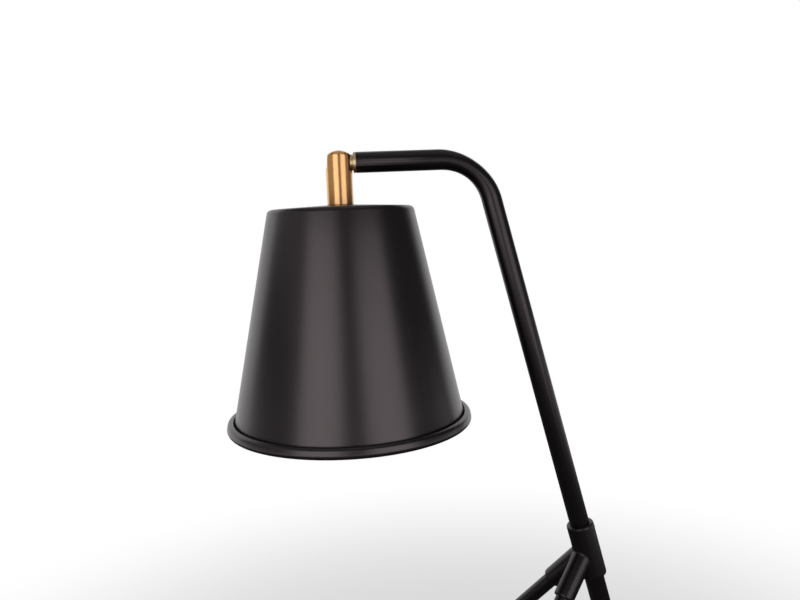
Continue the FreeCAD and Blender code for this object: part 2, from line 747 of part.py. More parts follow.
outer_flat = cross_bore("swivel_flat_outer", spot_width / 2, -spot_outer, swivel_outer)
place(outer_flat, (-spot_outer, 0, 0), turned_by("0; 1; 0", spot_taper - 90))
cross_bore("swivel_flat_arm", spot_diameter / 2, spot_inner, swivel_outer)
cross_bore("swivel_chamber", chamber_bore / 2, -swivel_r, swivel_r + wall_in)
cross_bore("swivel_spindle_bore", spindle_outer / 2 + fit_gap, 0, swivel_outer)
pin_seat = spot_inner - swivel_wall / 2 - fit_gap
pin_hole = swivel.newObject("PartDesign::SubtractiveCylinder", "swivel_pin_hole")
bind(pin_hole, "Radius", stop_diameter / 2 + fit_gap)
bind(pin_hole, "Height", swivel_wall)
place(pin_hole, (pin_seat, 0, -stop_radius), ALONG_X)
place(swivel, HEAD)
nodes.append(swivel)

plug_edge = size("plug_edge", 0.3, "plug, bevelled rim")
plug_r = chamber_bore / 2 - fit_gap
plug = turned_body("swivel_plug", [
    (0, -plug_face), (plug_r, -plug_face), (plug_r, plug_thick - plug_face), (0, plug_thick - plug_face),
])
soften(plug, [(plug_r, -plug_face)], plug_edge, "PartDesign::Chamfer")
place(plug, HEAD, ALONG_X)
nodes.append(plug)

# A fibre washer on the stop pin rubs on the arm bush, so that the shade stays where it is put.
rub_washer = turned_body("friction_washer", [
    (hole_r, spot_inner), (rub_outer / 2, spot_inner), (rub_outer / 2, rub_x), (hole_r, rub_x),
])
rub_hole = rub_washer.newObject("PartDesign::SubtractiveCylinder", "friction_washer_hole")
bind(rub_hole, "Radius", stop_diameter / 2 + fit_gap)
bind(rub_hole, "Height", rub_thick + fit_gap * 2)
place(rub_hole, (stop_radius, 0, spot_inner - fit_gap))
place(rub_washer, HEAD, ALONG_X)
nodes.append(rub_washer)

stop_pin = turned_body("stop_pin", [
    (0, pin_seat + fit_gap),
    (stop_diameter / 2, pin_seat + fit_gap),
    (stop_diameter / 2, rub_x + stop_proud),
    (0, rub_x + stop_proud),
])
place(stop_pin, (shade_x, 0, arm_height - stop_radius), ALONG_X)
nodes.append(stop_pin)

# ---- Shade -----------------------------------------------------------------------------
# Spun in one piece: flat seat with its hole, slightly crowned top, rounded corner, straight
# cone, and the rim curled outwards into a flattened bead, whose end stands clear of the
# cone. The cone's inner face runs tangent into the bead.
corner_drop = shade_drop + shade_crown
crown_angle = slope(shade_crown, shade_top - shade_seat)
ring_out = bead_ring - shade_top
ring_down = bead_drop - corner_drop
line_length = root(ring_out * ring_out + ring_down * ring_down)
core = bead_r - shade_wall
cone_angle = slope(ring_out, ring_down) - arc_sine(core / line_length)
rim_x = -cosine(cone_angle)
rim_z = -sine(cone_angle)
curl_end = cone_angle + as_size(180) + bead_turn
end_x = cosine(curl_end)
end_z = sine(curl_end)
curl_ring = bead_ring + bead_flat * rim_z
curl_drop = bead_drop + bead_flat * rim_x
nipple_hole = nipple_outer / 2 + fit_gap
spread = shade_wall / cosine(cone_angle + crown_angle)
inner_corner = shade_top - spread * (cosine(crown_angle) - sine(cone_angle))
inner_drop = corner_drop + spread * (cosine(cone_angle) - sine(crown_angle))
inner_seat = shade_seat - shade_wall * tangent(crown_angle / 2)
shade = turned_body("shade", [
    (nipple_hole, -shade_drop),
    (shade_seat, -shade_drop),
    (shade_top, -corner_drop),
    (bead_ring + core * rim_x, core * rim_z - bead_drop),
    (bead_ring - core * rim_z, core * rim_x - bead_drop),
    (bead_ring - core * rim_x, -core * rim_z - bead_drop),
    (curl_ring - core * rim_x, -core * rim_z - curl_drop),
    (curl_ring + core * end_x, core * end_z - curl_drop),
    (curl_ring + bead_r * end_x, bead_r * end_z - curl_drop),
    (curl_ring - bead_r * rim_x, -bead_r * rim_z - curl_drop),
    (bead_ring - bead_r * rim_x, -bead_r * rim_z - bead_drop),
    (bead_ring - bead_r * rim_z, bead_r * rim_x - bead_drop),
    (bead_ring + bead_r * rim_x, bead_r * rim_z - bead_drop),
    (inner_corner, -inner_drop),
    (inner_seat, -shade_drop - shade_wall),
    (nipple_hole, -shade_drop - shade_wall),
], {
    3: (bead_ring, -bead_drop, core, True),
    4: (bead_ring, -bead_drop, core, True),
    6: (curl_ring, -curl_drop, core, True),
    8: (curl_ring, -curl_drop, bead_r, False),
    10: (bead_ring, -bead_drop, bead_r, False),
    11: (bead_ring, -bead_drop, bead_r, False),
})
soften(shade, [(shade_top, -corner_drop)], shade_corner)
soften(shade, [(inner_corner, -inner_drop)], shade_corner - shade_wall)
place(shade, HEAD)
nodes.append(shade)

# ---- Nipple and clamp ------------------------------------------------------------------
under_top = -shade_drop - shade_wall
under_washer = under_top - clamp_thick
under_nut = under_washer - clamp_nut_thick
collar_end = under_nut - collar_length
nipple = turned_body("nipple", [
    (nipple_bore / 2, collar_end),
    (nipple_outer / 2, collar_end),
    (nipple_outer / 2, nipple_grip - shade_drop),
    (nipple_bore / 2, nipple_grip - shade_drop),
])
place(nipple, HEAD)
nodes.append(nipple)
washer = turned_body("shade_washer", [
    (nipple_hole, under_washer),
    (clamp_washer / 2, under_washer),
    (clamp_washer / 2, under_top),
    (nipple_hole, under_top),
])
place(washer, HEAD)
nodes.append(washer)
clamp = new_body("shade_nut")
nut_sketch = new_sketch(clamp, "XY_Plane", "shade_nut_outline", under_nut)
nut_corner = clamp_nut / 2 / cosine(as_size(30))
draw_outline(nut_sketch, [
    (nut_corner * cosine(as_size(60.0 * k)), nut_corner * sine(as_size(60.0 * k))) for k in range(6)
])
draw_circle(nut_sketch, 0, 0, nipple_hole)
nut_pad = clamp.newObject("PartDesign::Pad", "shade_nut_pad")
nut_pad.Profile = nut_sketch
bind(nut_pad, "Length", clamp_nut_thick)
place(clamp, HEAD)
nodes.append(clamp)

# ---- Lamp holder -----------------------------------------------------------------------
holder_r = holder_outer / 2
cap_end = under_nut - cap_length
skirt_end = cap_end - skirt_length
collar_r = collar_outer / 2
cap_slope = (cap_end - collar_end) / 2 + collar_end
holder_cap = turned_body("holder_cap", [
    (nipple_hole, under_nut),
    (collar_r, under_nut),
    (collar_r, collar_end),
    (holder_r, cap_slope),
    (holder_r, cap_end),
    (holder_r - holder_wall, cap_end),
    (holder_r - holder_wall, cap_slope),
    (collar_r, collar_end - holder_wall),
    (nipple_hole, collar_end - holder_wall),
])
cap_round = size("cap_round", 3.0, "holder cap, rounded shoulder")
soften(holder_cap, [(holder_r, cap_slope)], cap_round)
place(holder_cap, HEAD)
nodes.append(holder_cap)

block_top = cap_end - fit_gap
block_end = block_top - block_thick
block_r = holder_r - holder_wall - fit_gap
mouth_r = shell_bore / 2 + shell_wall + fit_gap
holder_body = turned_body("holder_body", [
    (holder_r - holder_wall, cap_end),
    (holder_r, cap_end),
    (holder_r, skirt_end),
    (mouth_r, skirt_end),
    (mouth_r, skirt_end + holder_wall),
    (holder_r - holder_wall, skirt_end + holder_wall),
])
skirt_round = size("skirt_round", 1.4, "holder body, rounded mouth")
soften(holder_body, [(holder_r, skirt_end)], skirt_round)
place(holder_body, HEAD)
nodes.append(holder_body)
block = turned_body("contact_block", [(0, block_end), (block_r, block_end), (block_r, block_top), (0, block_top)])
place(block, HEAD)
nodes.append(block)
screw_shell = turned_body("screw_shell", [
    (shell_bore / 2, block_end - shell_length),
    (shell_bore / 2 + shell_wall, block_end - shell_length),
    (shell_bore / 2 + shell_wall, block_end),
    (shell_bore / 2, block_end),
])
place(screw_shell, HEAD)
nodes.append(screw_shell)
contact = turned_body("centre_contact", [
    (0, block_end - contact_thick), (contact_outer / 2, block_end - contact_thick),
    (contact_outer / 2, block_end), (0, block_end),
])
place(contact, HEAD)
nodes.append(contact)

# Two terminals stand on the block, each with its screw.
terminals = []
screws = []
for side, sign in (("left", -1), ("right", 1)):
    box = doc.addObject("Part::Box", "terminal_box_" + side)
    bind(box, "Length", terminal_side)
    bind(box, "Width", terminal_side)
    bind(box, "Height", terminal_side)
    centre_x = terminal_space / 2 * sign
    corner_x = shade_x + centre_x - terminal_side / 2
    place(box, (corner_x, -terminal_side / 2, arm_height + block_top))
    bore_z = arm_height + block_top + terminal_side / 2
    screw_r = terminal_side / 4
    tap = cylinder("terminal_tap_" + side, screw_r + fit_gap, terminal_side / 2,
                   (shade_x + centre_x, 0, bore_z))
    terminals.append(cut("terminal_" + side, box, tap))
    screws.append(cylinder("terminal_screw_" + side, screw_r, terminal_side / 2 + run_gap * 8,
                           (shade_x + centre_x, 0, bore_z)))
nodes.append(group("terminals", terminals))
nodes.append(group("terminal_screws", screws))

# ---- Bulb ------------------------------------------------------------------------------
contact_z = block_end - contact_thick
bulb_top = contact_z - fit_gap
tip_height = size("tip_height", 1.6, "bulb contact, height")
cap_top = bulb_top - tip_height
cap_bottom = bulb_top - bulb_cap_length
cap_r = bulb_cap_outer / 2
tip = turned_body("bulb_contact", [
    (0, cap_top), (contact_outer / 2, cap_top), (contact_outer / 4, bulb_top), (0, bulb_top),
])
place(tip, HEAD)
nodes.append(tip)
points = [(0, cap_top), (cap_r * 0.62, cap_top), (cap_r - screw_depth, cap_top - screw_pitch)]
for k in range(4):
    crest = cap_top - screw_pitch * (k + 1.5)
    points.append((cap_r, crest))
    points.append((cap_r - screw_depth, crest - screw_pitch / 2))
points.append((cap_r, cap_bottom + screw_pitch / 4))
points.append((cap_r, cap_bottom))
points.append((0, cap_bottom))
bulb_cap = turned_body("bulb_cap", points)
place(bulb_cap, HEAD)
nodes.append(bulb_cap)

globe_r = bulb_outer / 2
globe_z = bulb_top - bulb_length + globe_r
bulb_neck_r = bulb_neck / 2
reach = globe_r + bulb_flare
across = bulb_neck_r + bulb_flare
flare_z = globe_z + root(reach * reach - across * across)
touch = globe_r / reach
touch_x = across * touch
touch_z = globe_z + (flare_z - globe_z) * touch
inner_r = globe_r - glass_wall
inner_touch = inner_r / reach
glass = turned_body("bulb_glass", [
    (bulb_neck_r - glass_wall, cap_bottom),
    (bulb_neck_r, cap_bottom),
    (bulb_neck_r, flare_z),
    (touch_x, touch_z),
    (0, globe_z - globe_r),
    (0, globe_z - inner_r),
    (across * inner_touch, globe_z + (flare_z - globe_z) * inner_touch),
    (bulb_neck_r - glass_wall, flare_z),
], {
    2: (across, flare_z, bulb_flare, True),
    3: (0, globe_z, globe_r, False),
    5: (0, globe_z, inner_r, True),
    6: (across, flare_z, bulb_flare + glass_wall, False),
})
place(glass, HEAD)
nodes.append(glass)

# ---- Inner lead ------------------------------------------------------------------------
# It comes up the stem and along the arm, and meets the shade's lead on the swivel's axis,
# where both ends are square to that axis. The shade's lead turns down through the nipple.
lead_r = lead_outer / 2
lead_x = nut_x - run_gap * 4
lead_foot_x = heel_x - inlet_height * tangent(stem_lean)
lead_stem = swept_body("lead_stem", lead_x, lead_foot_x, inlet_height, [lead_r])
nodes.append(lead_stem)
lead_head = new_body("lead_head")
lead_axis = new_sketch(lead_head, "XZ_Plane", "lead_head_axis")
turn_x = lead_x - lead_bend
lead_end = cap_end + terminal_side + holder_wall
bend = Part.Circle(FreeCAD.Vector(lead_x.value, -lead_bend.value, 0), FreeCAD.Vector(0, 0, 1), lead_bend.value)
lead_axis.addGeometry(Part.ArcOfCircle(bend, math.pi / 2, math.pi), False)
low = FreeCAD.Vector(turn_x.value, -lead_bend.value, 0)
lead_axis.addGeometry(Part.LineSegment(low, FreeCAD.Vector(turn_x.value, lead_end.value, 0)), False)
lead_axis.addConstraint(Sketcher.Constraint("Coincident", 0, 2, 1, 1))
lead_axis.addConstraint(Sketcher.Constraint("PointOnObject", 0, 1, -1))
hold(lead_axis, "DistanceX", (-1, 1, 0, 1), lead_x)
hold(lead_axis, "DistanceX", (-1, 1, 0, 2), turn_x)
hold(lead_axis, "DistanceY", (-1, 1, 0, 2), -lead_bend)
hold(lead_axis, "Radius", (0,), lead_bend)
hold(lead_axis, "DistanceX", (-1, 1, 1, 2), turn_x)
hold(lead_axis, "DistanceY", (-1, 1, 1, 2), lead_end)
lead_section = new_sketch(lead_head, "YZ_Plane", "lead_head_section", lead_x)
draw_circle(lead_section, 0, 0, lead_r)
lead_pipe = lead_head.newObject("PartDesign::AdditivePipe", "lead_head_pipe")
lead_pipe.Profile = lead_section
lead_pipe.Spine = lead_axis
place(lead_head, HEAD)
nodes.append(lead_head)

doc.recompute()

for thing in doc.Objects:
    if "Invalid" in thing.State or "Error" in thing.State:
        raise RuntimeError("%s is %s" % (thing.Label, thing.State))
for node in nodes:
    if node.Shape.isNull() or not node.Shape.isValid():
        raise RuntimeError("%s has no sound shape" % node.Label)
    if len(node.Shape.Solids) < 1:
        raise RuntimeError("%s has no solid" % node.Label)
for node in nodes:
    node.Shape.exportStep("parts/%s.step" % node.Label)
    box = node.Shape.BoundBox
    print("%-16s %d solid(s) %9.1f mm3  x %7.2f..%7.2f  y %7.2f..%7.2f  z %7.2f..%7.2f" % (
        node.Label, len(node.Shape.Solids), node.Shape.Volume,
        box.XMin, box.XMax, box.YMin, box.YMax, box.ZMin, box.ZMax))
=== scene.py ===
# Tripod table lamp: black lacquered tube and spun shade, brass swivel at the arm's end.
import json
import math

import bmesh
import bpy
from mathutils import Euler, Matrix, Vector


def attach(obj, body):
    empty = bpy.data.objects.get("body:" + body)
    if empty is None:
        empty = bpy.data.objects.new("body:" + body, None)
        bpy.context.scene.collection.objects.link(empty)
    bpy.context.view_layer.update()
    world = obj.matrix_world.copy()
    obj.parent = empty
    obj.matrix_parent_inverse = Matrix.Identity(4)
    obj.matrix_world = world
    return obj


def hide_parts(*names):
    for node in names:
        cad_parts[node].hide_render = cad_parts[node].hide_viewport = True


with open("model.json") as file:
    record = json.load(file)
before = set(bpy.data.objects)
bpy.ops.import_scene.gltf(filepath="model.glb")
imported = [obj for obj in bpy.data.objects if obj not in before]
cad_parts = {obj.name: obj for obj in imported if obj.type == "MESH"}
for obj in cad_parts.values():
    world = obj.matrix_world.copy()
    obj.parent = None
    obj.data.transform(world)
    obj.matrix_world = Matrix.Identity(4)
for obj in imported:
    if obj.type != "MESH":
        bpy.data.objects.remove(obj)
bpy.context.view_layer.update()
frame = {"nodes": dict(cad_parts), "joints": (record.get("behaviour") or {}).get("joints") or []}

bl_info = {
    "name": "Tripod Table Lamp",
    "version": (1, 0, 0),
    "blender": (4, 5, 0),
    "location": "View3D > Sidebar > Lamp",
    "description": "Builds the dressed lamp, its finishes and its studio round the CAD frame",
    "category": "Object",
}

MM = 0.001
FIT = 0.05 * MM             # Clearance round a piece that fits in another.
NIPPLE_HOLE = 5.05 * MM     # Radius, through the swivel body's foot and the shade's top.
SPINDLE_HOLE = 3.05 * MM    # Radius, through the swivel body's wall and the arm bush.
PIVOT = Vector(frame["joints"][0]["pos_m"])     # The arm's axis meets the shade's axis here.
ALONG_X = Euler((0, math.radians(90), 0)).to_matrix()


# ---- Sizes and colours a user would change ---------------------------------------------


def length(name, default, note):
    """A length property in metres, given in millimetres."""
    return bpy.props.FloatProperty(
        name=name, description=note, default=default * MM, min=0.0,
        subtype="DISTANCE", unit="LENGTH", precision=4)


def angle(name, default, note):
    """An angle property in radians, given in degrees."""
    return bpy.props.FloatProperty(
        name=name, description=note, default=math.radians(default), subtype="ANGLE")


def colour(name, code, note):
    """A colour property from an sRGB hex code."""
    return bpy.props.FloatVectorProperty(
        name=name, description=note, default=linear(code)[:3], size=3,
        min=0.0, max=1.0, subtype="COLOR")


def linear(code):
    """sRGB hex code to a linear colour with alpha 1."""
    parts = [int(code[i:i + 2], 16) / 255 for i in (0, 2, 4)]
    return tuple(
        c / 12.92 if c <= 0.04045 else ((c + 0.055) / 1.055) ** 2.4 for c in parts) + (1.0,)


class LampTubeSizes(bpy.types.PropertyGroup):
    """Sizes of the main tube, the legs and the hub"""
    tube: length("Tube", 16.0, "Outside diameter of the main tube")
    tube_wall: length("Tube wall", 1.5, "Wall of the main tube")
    tube_start: length("Tube start", 13.3, "Shade axis to the end of the arm")
    reach: length("Arm reach", 76.6, "Shade axis to the start of the bend")
    bend: length("Bend radius", 41.9, "Radius of the tube's axis in the bend")
    flattening: bpy.props.FloatProperty(
        name="Flattening", description="Share of its height that the tube loses in mid bend",
        default=0.12, min=0.0, max=0.4, subtype="FACTOR")
    lean: angle("Stem lean", 14.0, "Angle of the stem from upright")
    leg: length("Leg", 12.0, "Outside diameter of a front leg")
    leg_wall: length("Leg wall", 1.2, "Wall of a front leg")
    hub_height: length("Hub height", 230.0, "Point where the leg axes meet, above the table")
    foot_ahead: length("Foot place", 16.0, "Front feet, behind the shade axis")
    foot_spread: length("Foot spread", 236.0, "Front feet, centre to centre")
    hub_length: length("Hub length", 46.0, "Hub sleeve along the stem")
    hub_wall: length("Hub wall", 3.0, "Wall of the hub sleeve")
    socket_wall: length("Socket wall", 2.2, "Wall round a front leg")
    socket_start: length("Socket floor", 20.5, "Hub point to the end of a leg")
    socket_depth: length("Socket depth", 24.0, "Depth of a socket")
    tip_wall: length("Tip wall", 2.2, "Rubber round the tube")
    tip_cover: length("Tip cover", 16.0, "Tube covered by the rubber")
    tip_pad: length("Tip pad", 8.0, "End of a tube to the table, along the leg")
    inlet: length("Cord inlet", 44.0, "Cord inlet above the table")


class LampHeadSizes(bpy.types.PropertyGroup):
    """Sizes of the swivel, the shade, the holder and the bulb"""
    swivel: length("Swivel body", 20.4, "Diameter of the swivel body")
    dome_radius: length("Dome", 13.5, "Radius of the domed top")
    dome_rise: length("Dome rise", 9.6, "Top of the dome above the arm axis")
    flat: length("Arm flat width", 12.8, "Diameter of the flat at the arm")
    flat_wide: length("Outer flat width", 11.0, "Diameter of the outer flat")
    flat_outer: length("Outer flat", 8.75, "Outer flat from the shade axis, level with the arm")
    flat_taper: angle("Flat taper", 5.8, "Draft of the outer flat towards the domed top")
    flat_inner: length("Arm flat", 7.4, "Flat at the arm from the shade axis")
    plug_face: length("Plug face", 8.2, "Outer face of the plug from the shade axis")
    rub: length("Friction washer", 1.0, "Thickness of the friction washer")
    chamber: length("Chamber", 10.4, "Bore that the plug closes")
    neck: length("Neck", 12.4, "Diameter of the arm bush's neck")
    neck_length: length("Neck length", 2.55, "Length of the arm bush's neck")
    flange: length("Flange", 16.0, "Diameter of the arm bush's flange")
    flange_thick: length("Flange thickness", 2.3, "Thickness of the arm bush's flange")
    drop: length("Shade drop", 32.0, "Arm axis to the flat seat on the shade")
    seat: length("Seat", 14.0, "Radius of the flat seat on the shade")
    top: length("Shade top", 55.9, "Radius of the shade's top")
    crown: length("Crown", 2.2, "Fall of the top from its seat to its corner")
    wall: length("Shade wall", 1.0, "Thickness of the shade's metal")
    corner: length("Shade corner", 4.0, "Outer corner radius of the shade")
    bead: length("Bead", 3.1, "Outer radius of the rolled bead")
    bead_flat: length("Bead sides", 2.3, "Length of the bead's straight sides")
    ring: length("Bead ring", 92.45, "Radius of the bead's lower centre circle")
    ring_drop: length("Bead drop", 199.5, "Arm axis to the bead's lower centre circle")
    curl: angle("Bead curl", 286.0, "Angle of the curl")
    holder: length("Holder", 40.0, "Diameter of the lamp holder")
    bulb: length("Bulb", 60.0, "Diameter of the bulb")


class LampColours(bpy.types.PropertyGroup):
    """Colours of the finishes"""
    lacquer: colour("Lacquer", "0B0809", "Black baked lacquer")
    enamel: colour("Inside enamel", "E9E6DF", "White enamel inside the shade")
    brass: colour("Brass", "EDB066", "Turned brass of the swivel body")
    pale_brass: colour("Pale brass", "E4C69C", "Unlacquered brass of the arm bush")


def settings():
    """The lamp's three groups of settings: tube, head and colours."""
    scene = bpy.context.scene
    return scene.lamp_tube, scene.lamp_head, scene.lamp_colours


# ---- Mesh tools ------------------------------------------------------------------------


def arc(centre, radius, start, end, steps):
    """Points of an arc in the (radius, height) plane, angles in degrees, both ends included."""
    spots = []
    for i in range(steps + 1):
        a = math.radians(start + (end - start) * i / steps)
        spots.append((centre[0] + radius * math.cos(a), centre[1] + radius * math.sin(a)))
    return spots


def corner_arc(corner, first, last, radius, steps):
    """Points of a round between two straight runs that bear first and last, in degrees."""
    back = radius * math.tan(math.radians(first - last) / 2)
    a = math.radians(first)
    centre = (corner[0] - back * math.cos(a) + radius * math.sin(a),
              corner[1] - back * math.sin(a) - radius * math.cos(a))
    return arc(centre, radius, first + 90, last + 90, steps)


def bent_sheet(path, wall):
    """The closed outline of a bent sheet whose second face lies on the path's right."""
    ways = []
    for a, b in zip(path, path[1:]):
        size = math.hypot(b[0] - a[0], b[1] - a[1])
        ways.append(((b[0] - a[0]) / size, (b[1] - a[1]) / size))
    far = []
    for i, (x, z) in enumerate(path):
        one, two = ways[max(i - 1, 0)], ways[min(i, len(ways) - 1)]
        share = wall / (1 + one[0] * two[0] + one[1] * two[1])
        far.append((x + (one[1] + two[1]) * share, z - (one[0] + two[0]) * share))
    return path + far[::-1]


def turned_mesh(name, outline, steps=96, closed=True, tints=None):
    """A mesh turned about Z from an outline of (radius, height) points, anticlockwise in the
    XZ plane. tints gives the material number of the strip that leaves each point."""
    mesh = bpy.data.meshes.new(name)
    form = bmesh.new()
    rings = []
    for radius, height in outline:
        if abs(radius) < 1e-9:
            rings.append([form.verts.new((0.0, 0.0, height))])
            continue
        ring = []
        for k in range(steps):
            a = 2 * math.pi * k / steps
            ring.append(form.verts.new((radius * math.cos(a), radius * math.sin(a), height)))
        rings.append(ring)
    count = len(rings) if closed else len(rings) - 1
    for i in range(count):
        one, two = rings[i], rings[(i + 1) % len(rings)]
        if len(one) == 1 and len(two) == 1:
            continue
        for k in range(steps):
            n = (k + 1) % steps
            if len(one) == 1:
                corners = (one[0], two[n], two[k])
            elif len(two) == 1:
                corners = (one[k], one[n], two[0])
            else:
                corners = (one[k], one[n], two[n], two[k])
            face = form.faces.new(corners)
            face.smooth = True
            if tints:
                face.material_index = tints[i]
    bmesh.ops.recalc_face_normals(form, faces=form.faces[:])
    form.to_mesh(mesh)
    form.free()
    return mesh


def piece_from(mesh, name, turn=None, base=None):
    """An object for a mesh, with its place put into the mesh."""
    place = Matrix.Translation(base or Vector())
    if turn is not None:
        place = place @ turn.to_4x4()
    mesh.transform(place)
    thing = bpy.data.objects.new(name, mesh)
    mesh.name = name
    bpy.context.scene.collection.objects.link(thing)
    return thing


def settle(thing):
    """Apply a piece's modifiers, so that its mesh is what shows."""
    graph = bpy.context.evaluated_depsgraph_get()
    mesh = bpy.data.meshes.new_from_object(thing.evaluated_get(graph))
    old = thing.data
    thing.modifiers.clear()
    thing.data = mesh
    mesh.name = thing.name
    if isinstance(old, bpy.types.Mesh):
        bpy.data.meshes.remove(old)
    return thing


def carve(thing, tool, how="DIFFERENCE"):
    """Cut a tool from a piece, or join it on, and drop the tool."""
    change = thing.modifiers.new("carve", "BOOLEAN")
    change.operation = how
    change.object = tool
    change.solver = "EXACT"
    settle(thing)
    bpy.data.objects.remove(tool)
    return thing


def finish_edges(thing, width, limit=30.0, steps=3):
    """Give a piece's sharp edges a small round, and smooth the faces between them."""
    mesh = thing.data
    form = bmesh.new()
    form.from_mesh(mesh)
    bmesh.ops.remove_doubles(form, verts=form.verts[:], dist=1e-6)
    bmesh.ops.dissolve_degenerate(form, edges=form.edges[:], dist=1e-6)
    for face in form.faces:
        face.smooth = True
    form.to_mesh(mesh)
    form.free()
    if width > 0:
        bevel = thing.modifiers.new("bevel", "BEVEL")
        bevel.width = width
        bevel.segments = steps
        bevel.limit_method = "ANGLE"
        bevel.angle_limit = math.radians(limit)
        bevel.harden_normals = True
        settle(thing)
    thing.data.set_sharp_from_angle(angle=math.radians(limit + 10))
    return thing


def shade_round(thing, centre, radius, dome, edge, soft):
    """Shade an upright turned side straight out from its axis, also where a cut left long faces,
    and let it pass softly into the dome: edge is the angle at which the dome, (height, radius),
    starts, and soft the angle over which its shading turns from the side's to its own."""
    mesh = thing.data
    normals = [corner.vector.copy() for corner in mesh.corner_normals]
    for face in mesh.polygons:
        ways = [mesh.vertices[v].co - centre for v in face.vertices]
        rises = [way - Vector((0, 0, dome[0])) for way in ways]
        on_side = all(abs(way.xy.length - radius) < 0.02 * MM for way in ways)
        on_dome = all(abs(rise.length - dome[1]) < 0.1 * MM for rise in rises)
        if on_side and abs(face.normal.z) < 0.01:
            for corner, way in zip(face.loop_indices, ways):
                normals[corner] = Vector((way.x, way.y, 0)).normalized()
        elif on_dome and face.normal.z > 0.05:
            for corner, rise in zip(face.loop_indices, rises):
                lift = math.degrees(math.atan2(rise.z, rise.xy.length))
                share = min(max((lift - edge) / soft, 0.0), 1.0)
                # The least rise keeps the direction at the very top from being none.
                flat = Vector((rise.x, rise.y, 1e-9)).normalized()
                normals[corner] = flat.lerp(rise.normalized(), share).normalized()
    mesh.normals_split_custom_set(normals)


def cylinder_tool(name, radius, start, end, turn=None, base=None, steps=96):
    """A solid cylinder along Z between two heights, as a cutter."""
    outline = [(0, start), (radius, start), (radius, end), (0, end)]
    return piece_from(turned_mesh(name, outline, steps, closed=False), name, turn, base)


def block_tool(name, low, high, turn=None, base=None):
    """A box between two corners, as a cutter."""
    mesh = bpy.data.meshes.new(name)
    form = bmesh.new()
    bmesh.ops.create_cube(form, size=1.0)
    for spot in form.verts:
        spot.co = [a + (b - a) * (c + 0.5) for a, b, c in zip(low, high, spot.co)]
    bmesh.ops.recalc_face_normals(form, faces=form.faces[:])
    form.to_mesh(mesh)
    form.free()
    return piece_from(mesh, name, turn, base)


def dress(thing, body, slot_name, *finishes, stands_for=()):
    """Give a piece its finishes, its body and the CAD nodes that it stands for."""
    # Slots are filled one by one, because clearing them would lose the faces' numbers.
    slots = thing.data.materials
    while len(slots) > len(finishes):
        slots.pop()
    for i, name in enumerate(finishes):
        if i < len(slots):
            slots[i] = finish(name)
        else:
            slots.append(finish(name))
    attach(thing, body)
    if stands_for:
        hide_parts(*stands_for)
    return thing


def stem_turn(tube):
    """Z turned to run down the stem."""
    return Euler((0, math.pi - tube.lean, 0)).to_matrix()


def out_of_stem(tube):
    """Z turned to stand out of the stem's back."""
    return Euler((0, math.pi / 2 - tube.lean, 0)).to_matrix()


def stem_places(tube):
    """Bend end, heel on the table, hub point and inlet point, all on the stem's axis."""
    lean = tube.lean
    bend_low = PIVOT.z - tube.bend * (1 - math.sin(lean))
    top = Vector((PIVOT.x + tube.reach + tube.bend * math.cos(lean), 0, bend_low))
    heel = Vector((top.x + bend_low * math.tan(lean), 0, 0))
    hub = Vector((heel.x - tube.hub_height * math.tan(lean), 0, tube.hub_height))
    inlet = Vector((heel.x - tube.inlet * math.tan(lean), 0, tube.inlet))
    return top, heel, hub, inlet


def leg_frames(tube):
    """For each front leg its name, the turn of Z down the leg, and its full length."""
    hub = stem_places(tube)[2]
    frames = []
    for name, side in (("left", -1), ("right", 1)):
        toe = Vector((PIVOT.x + tube.foot_ahead, side * tube.foot_spread / 2, 0))
        way = toe - hub
        tilt = math.acos(-way.z / way.length)
        swing = math.atan2(way.y, way.x)
        turn = Matrix.Rotation(swing, 3, "Z") @ Matrix.Rotation(math.pi - tilt, 3, "Y")
        frames.append((name, turn, way.length))
    return frames


# ---- Finishes --------------------------------------------------------------------------


def feed(tree, node, feeds):
    """Set a node's inputs, or link those whose value is another node's output."""
    for name, value in feeds.items():
        if isinstance(value, bpy.types.NodeSocket):
            tree.links.new(value, node.inputs[name])
        else:
            node.inputs[name].default_value = value


def add_node(tree, kind, feeds=None, **traits):
    """Add a shader or geometry node, set its traits, and feed its inputs."""
    made = tree.nodes.new(kind)
    for name, value in traits.items():
        setattr(made, name, value)
    feed(tree, made, feeds or {})
    return made


def rgba(value, share=1.0):
    """A colour, or a share of it, with alpha 1."""
    return tuple(c * share for c in tuple(value)[:3]) + (1.0,)


def lacquer(tree, shader, place, ior):
    """Black baked lacquer on steel: sprayed and stoved, semi-matt. It has a faint orange peel of
    about 0.8 mm and broad soft highlights with a slight plum cast. A thinner, leaner coat has a
    lower IOR and a weaker shine."""
    black = settings()[2].lacquer
    peel = add_node(tree, "ShaderNodeTexNoise", {"Vector": place, "Scale": 1250.0, "Detail": 2.0})
    drift = add_node(tree, "ShaderNodeTexNoise", {"Vector": place, "Scale": 28.0, "Detail": 3.0})
    tone = add_node(tree, "ShaderNodeMix", {
        "Factor": drift.outputs["Fac"], "A": rgba(black, 0.86), "B": rgba(black, 1.16),
    }, data_type="RGBA")
    rough = add_node(tree, "ShaderNodeMapRange", {
        "Value": drift.outputs["Fac"], "To Min": 0.29, "To Max": 0.33})
    bump = add_node(tree, "ShaderNodeBump", {
        "Height": peel.outputs["Fac"], "Strength": 0.10, "Distance": 0.06 * MM})
    feed(tree, shader, {
        "Base Color": tone.outputs[2],
        "Roughness": rough.outputs["Result"],
        "IOR": ior,
        "Specular Tint": linear("FFEEF2"),
        "Normal": bump.outputs["Normal"],
    })


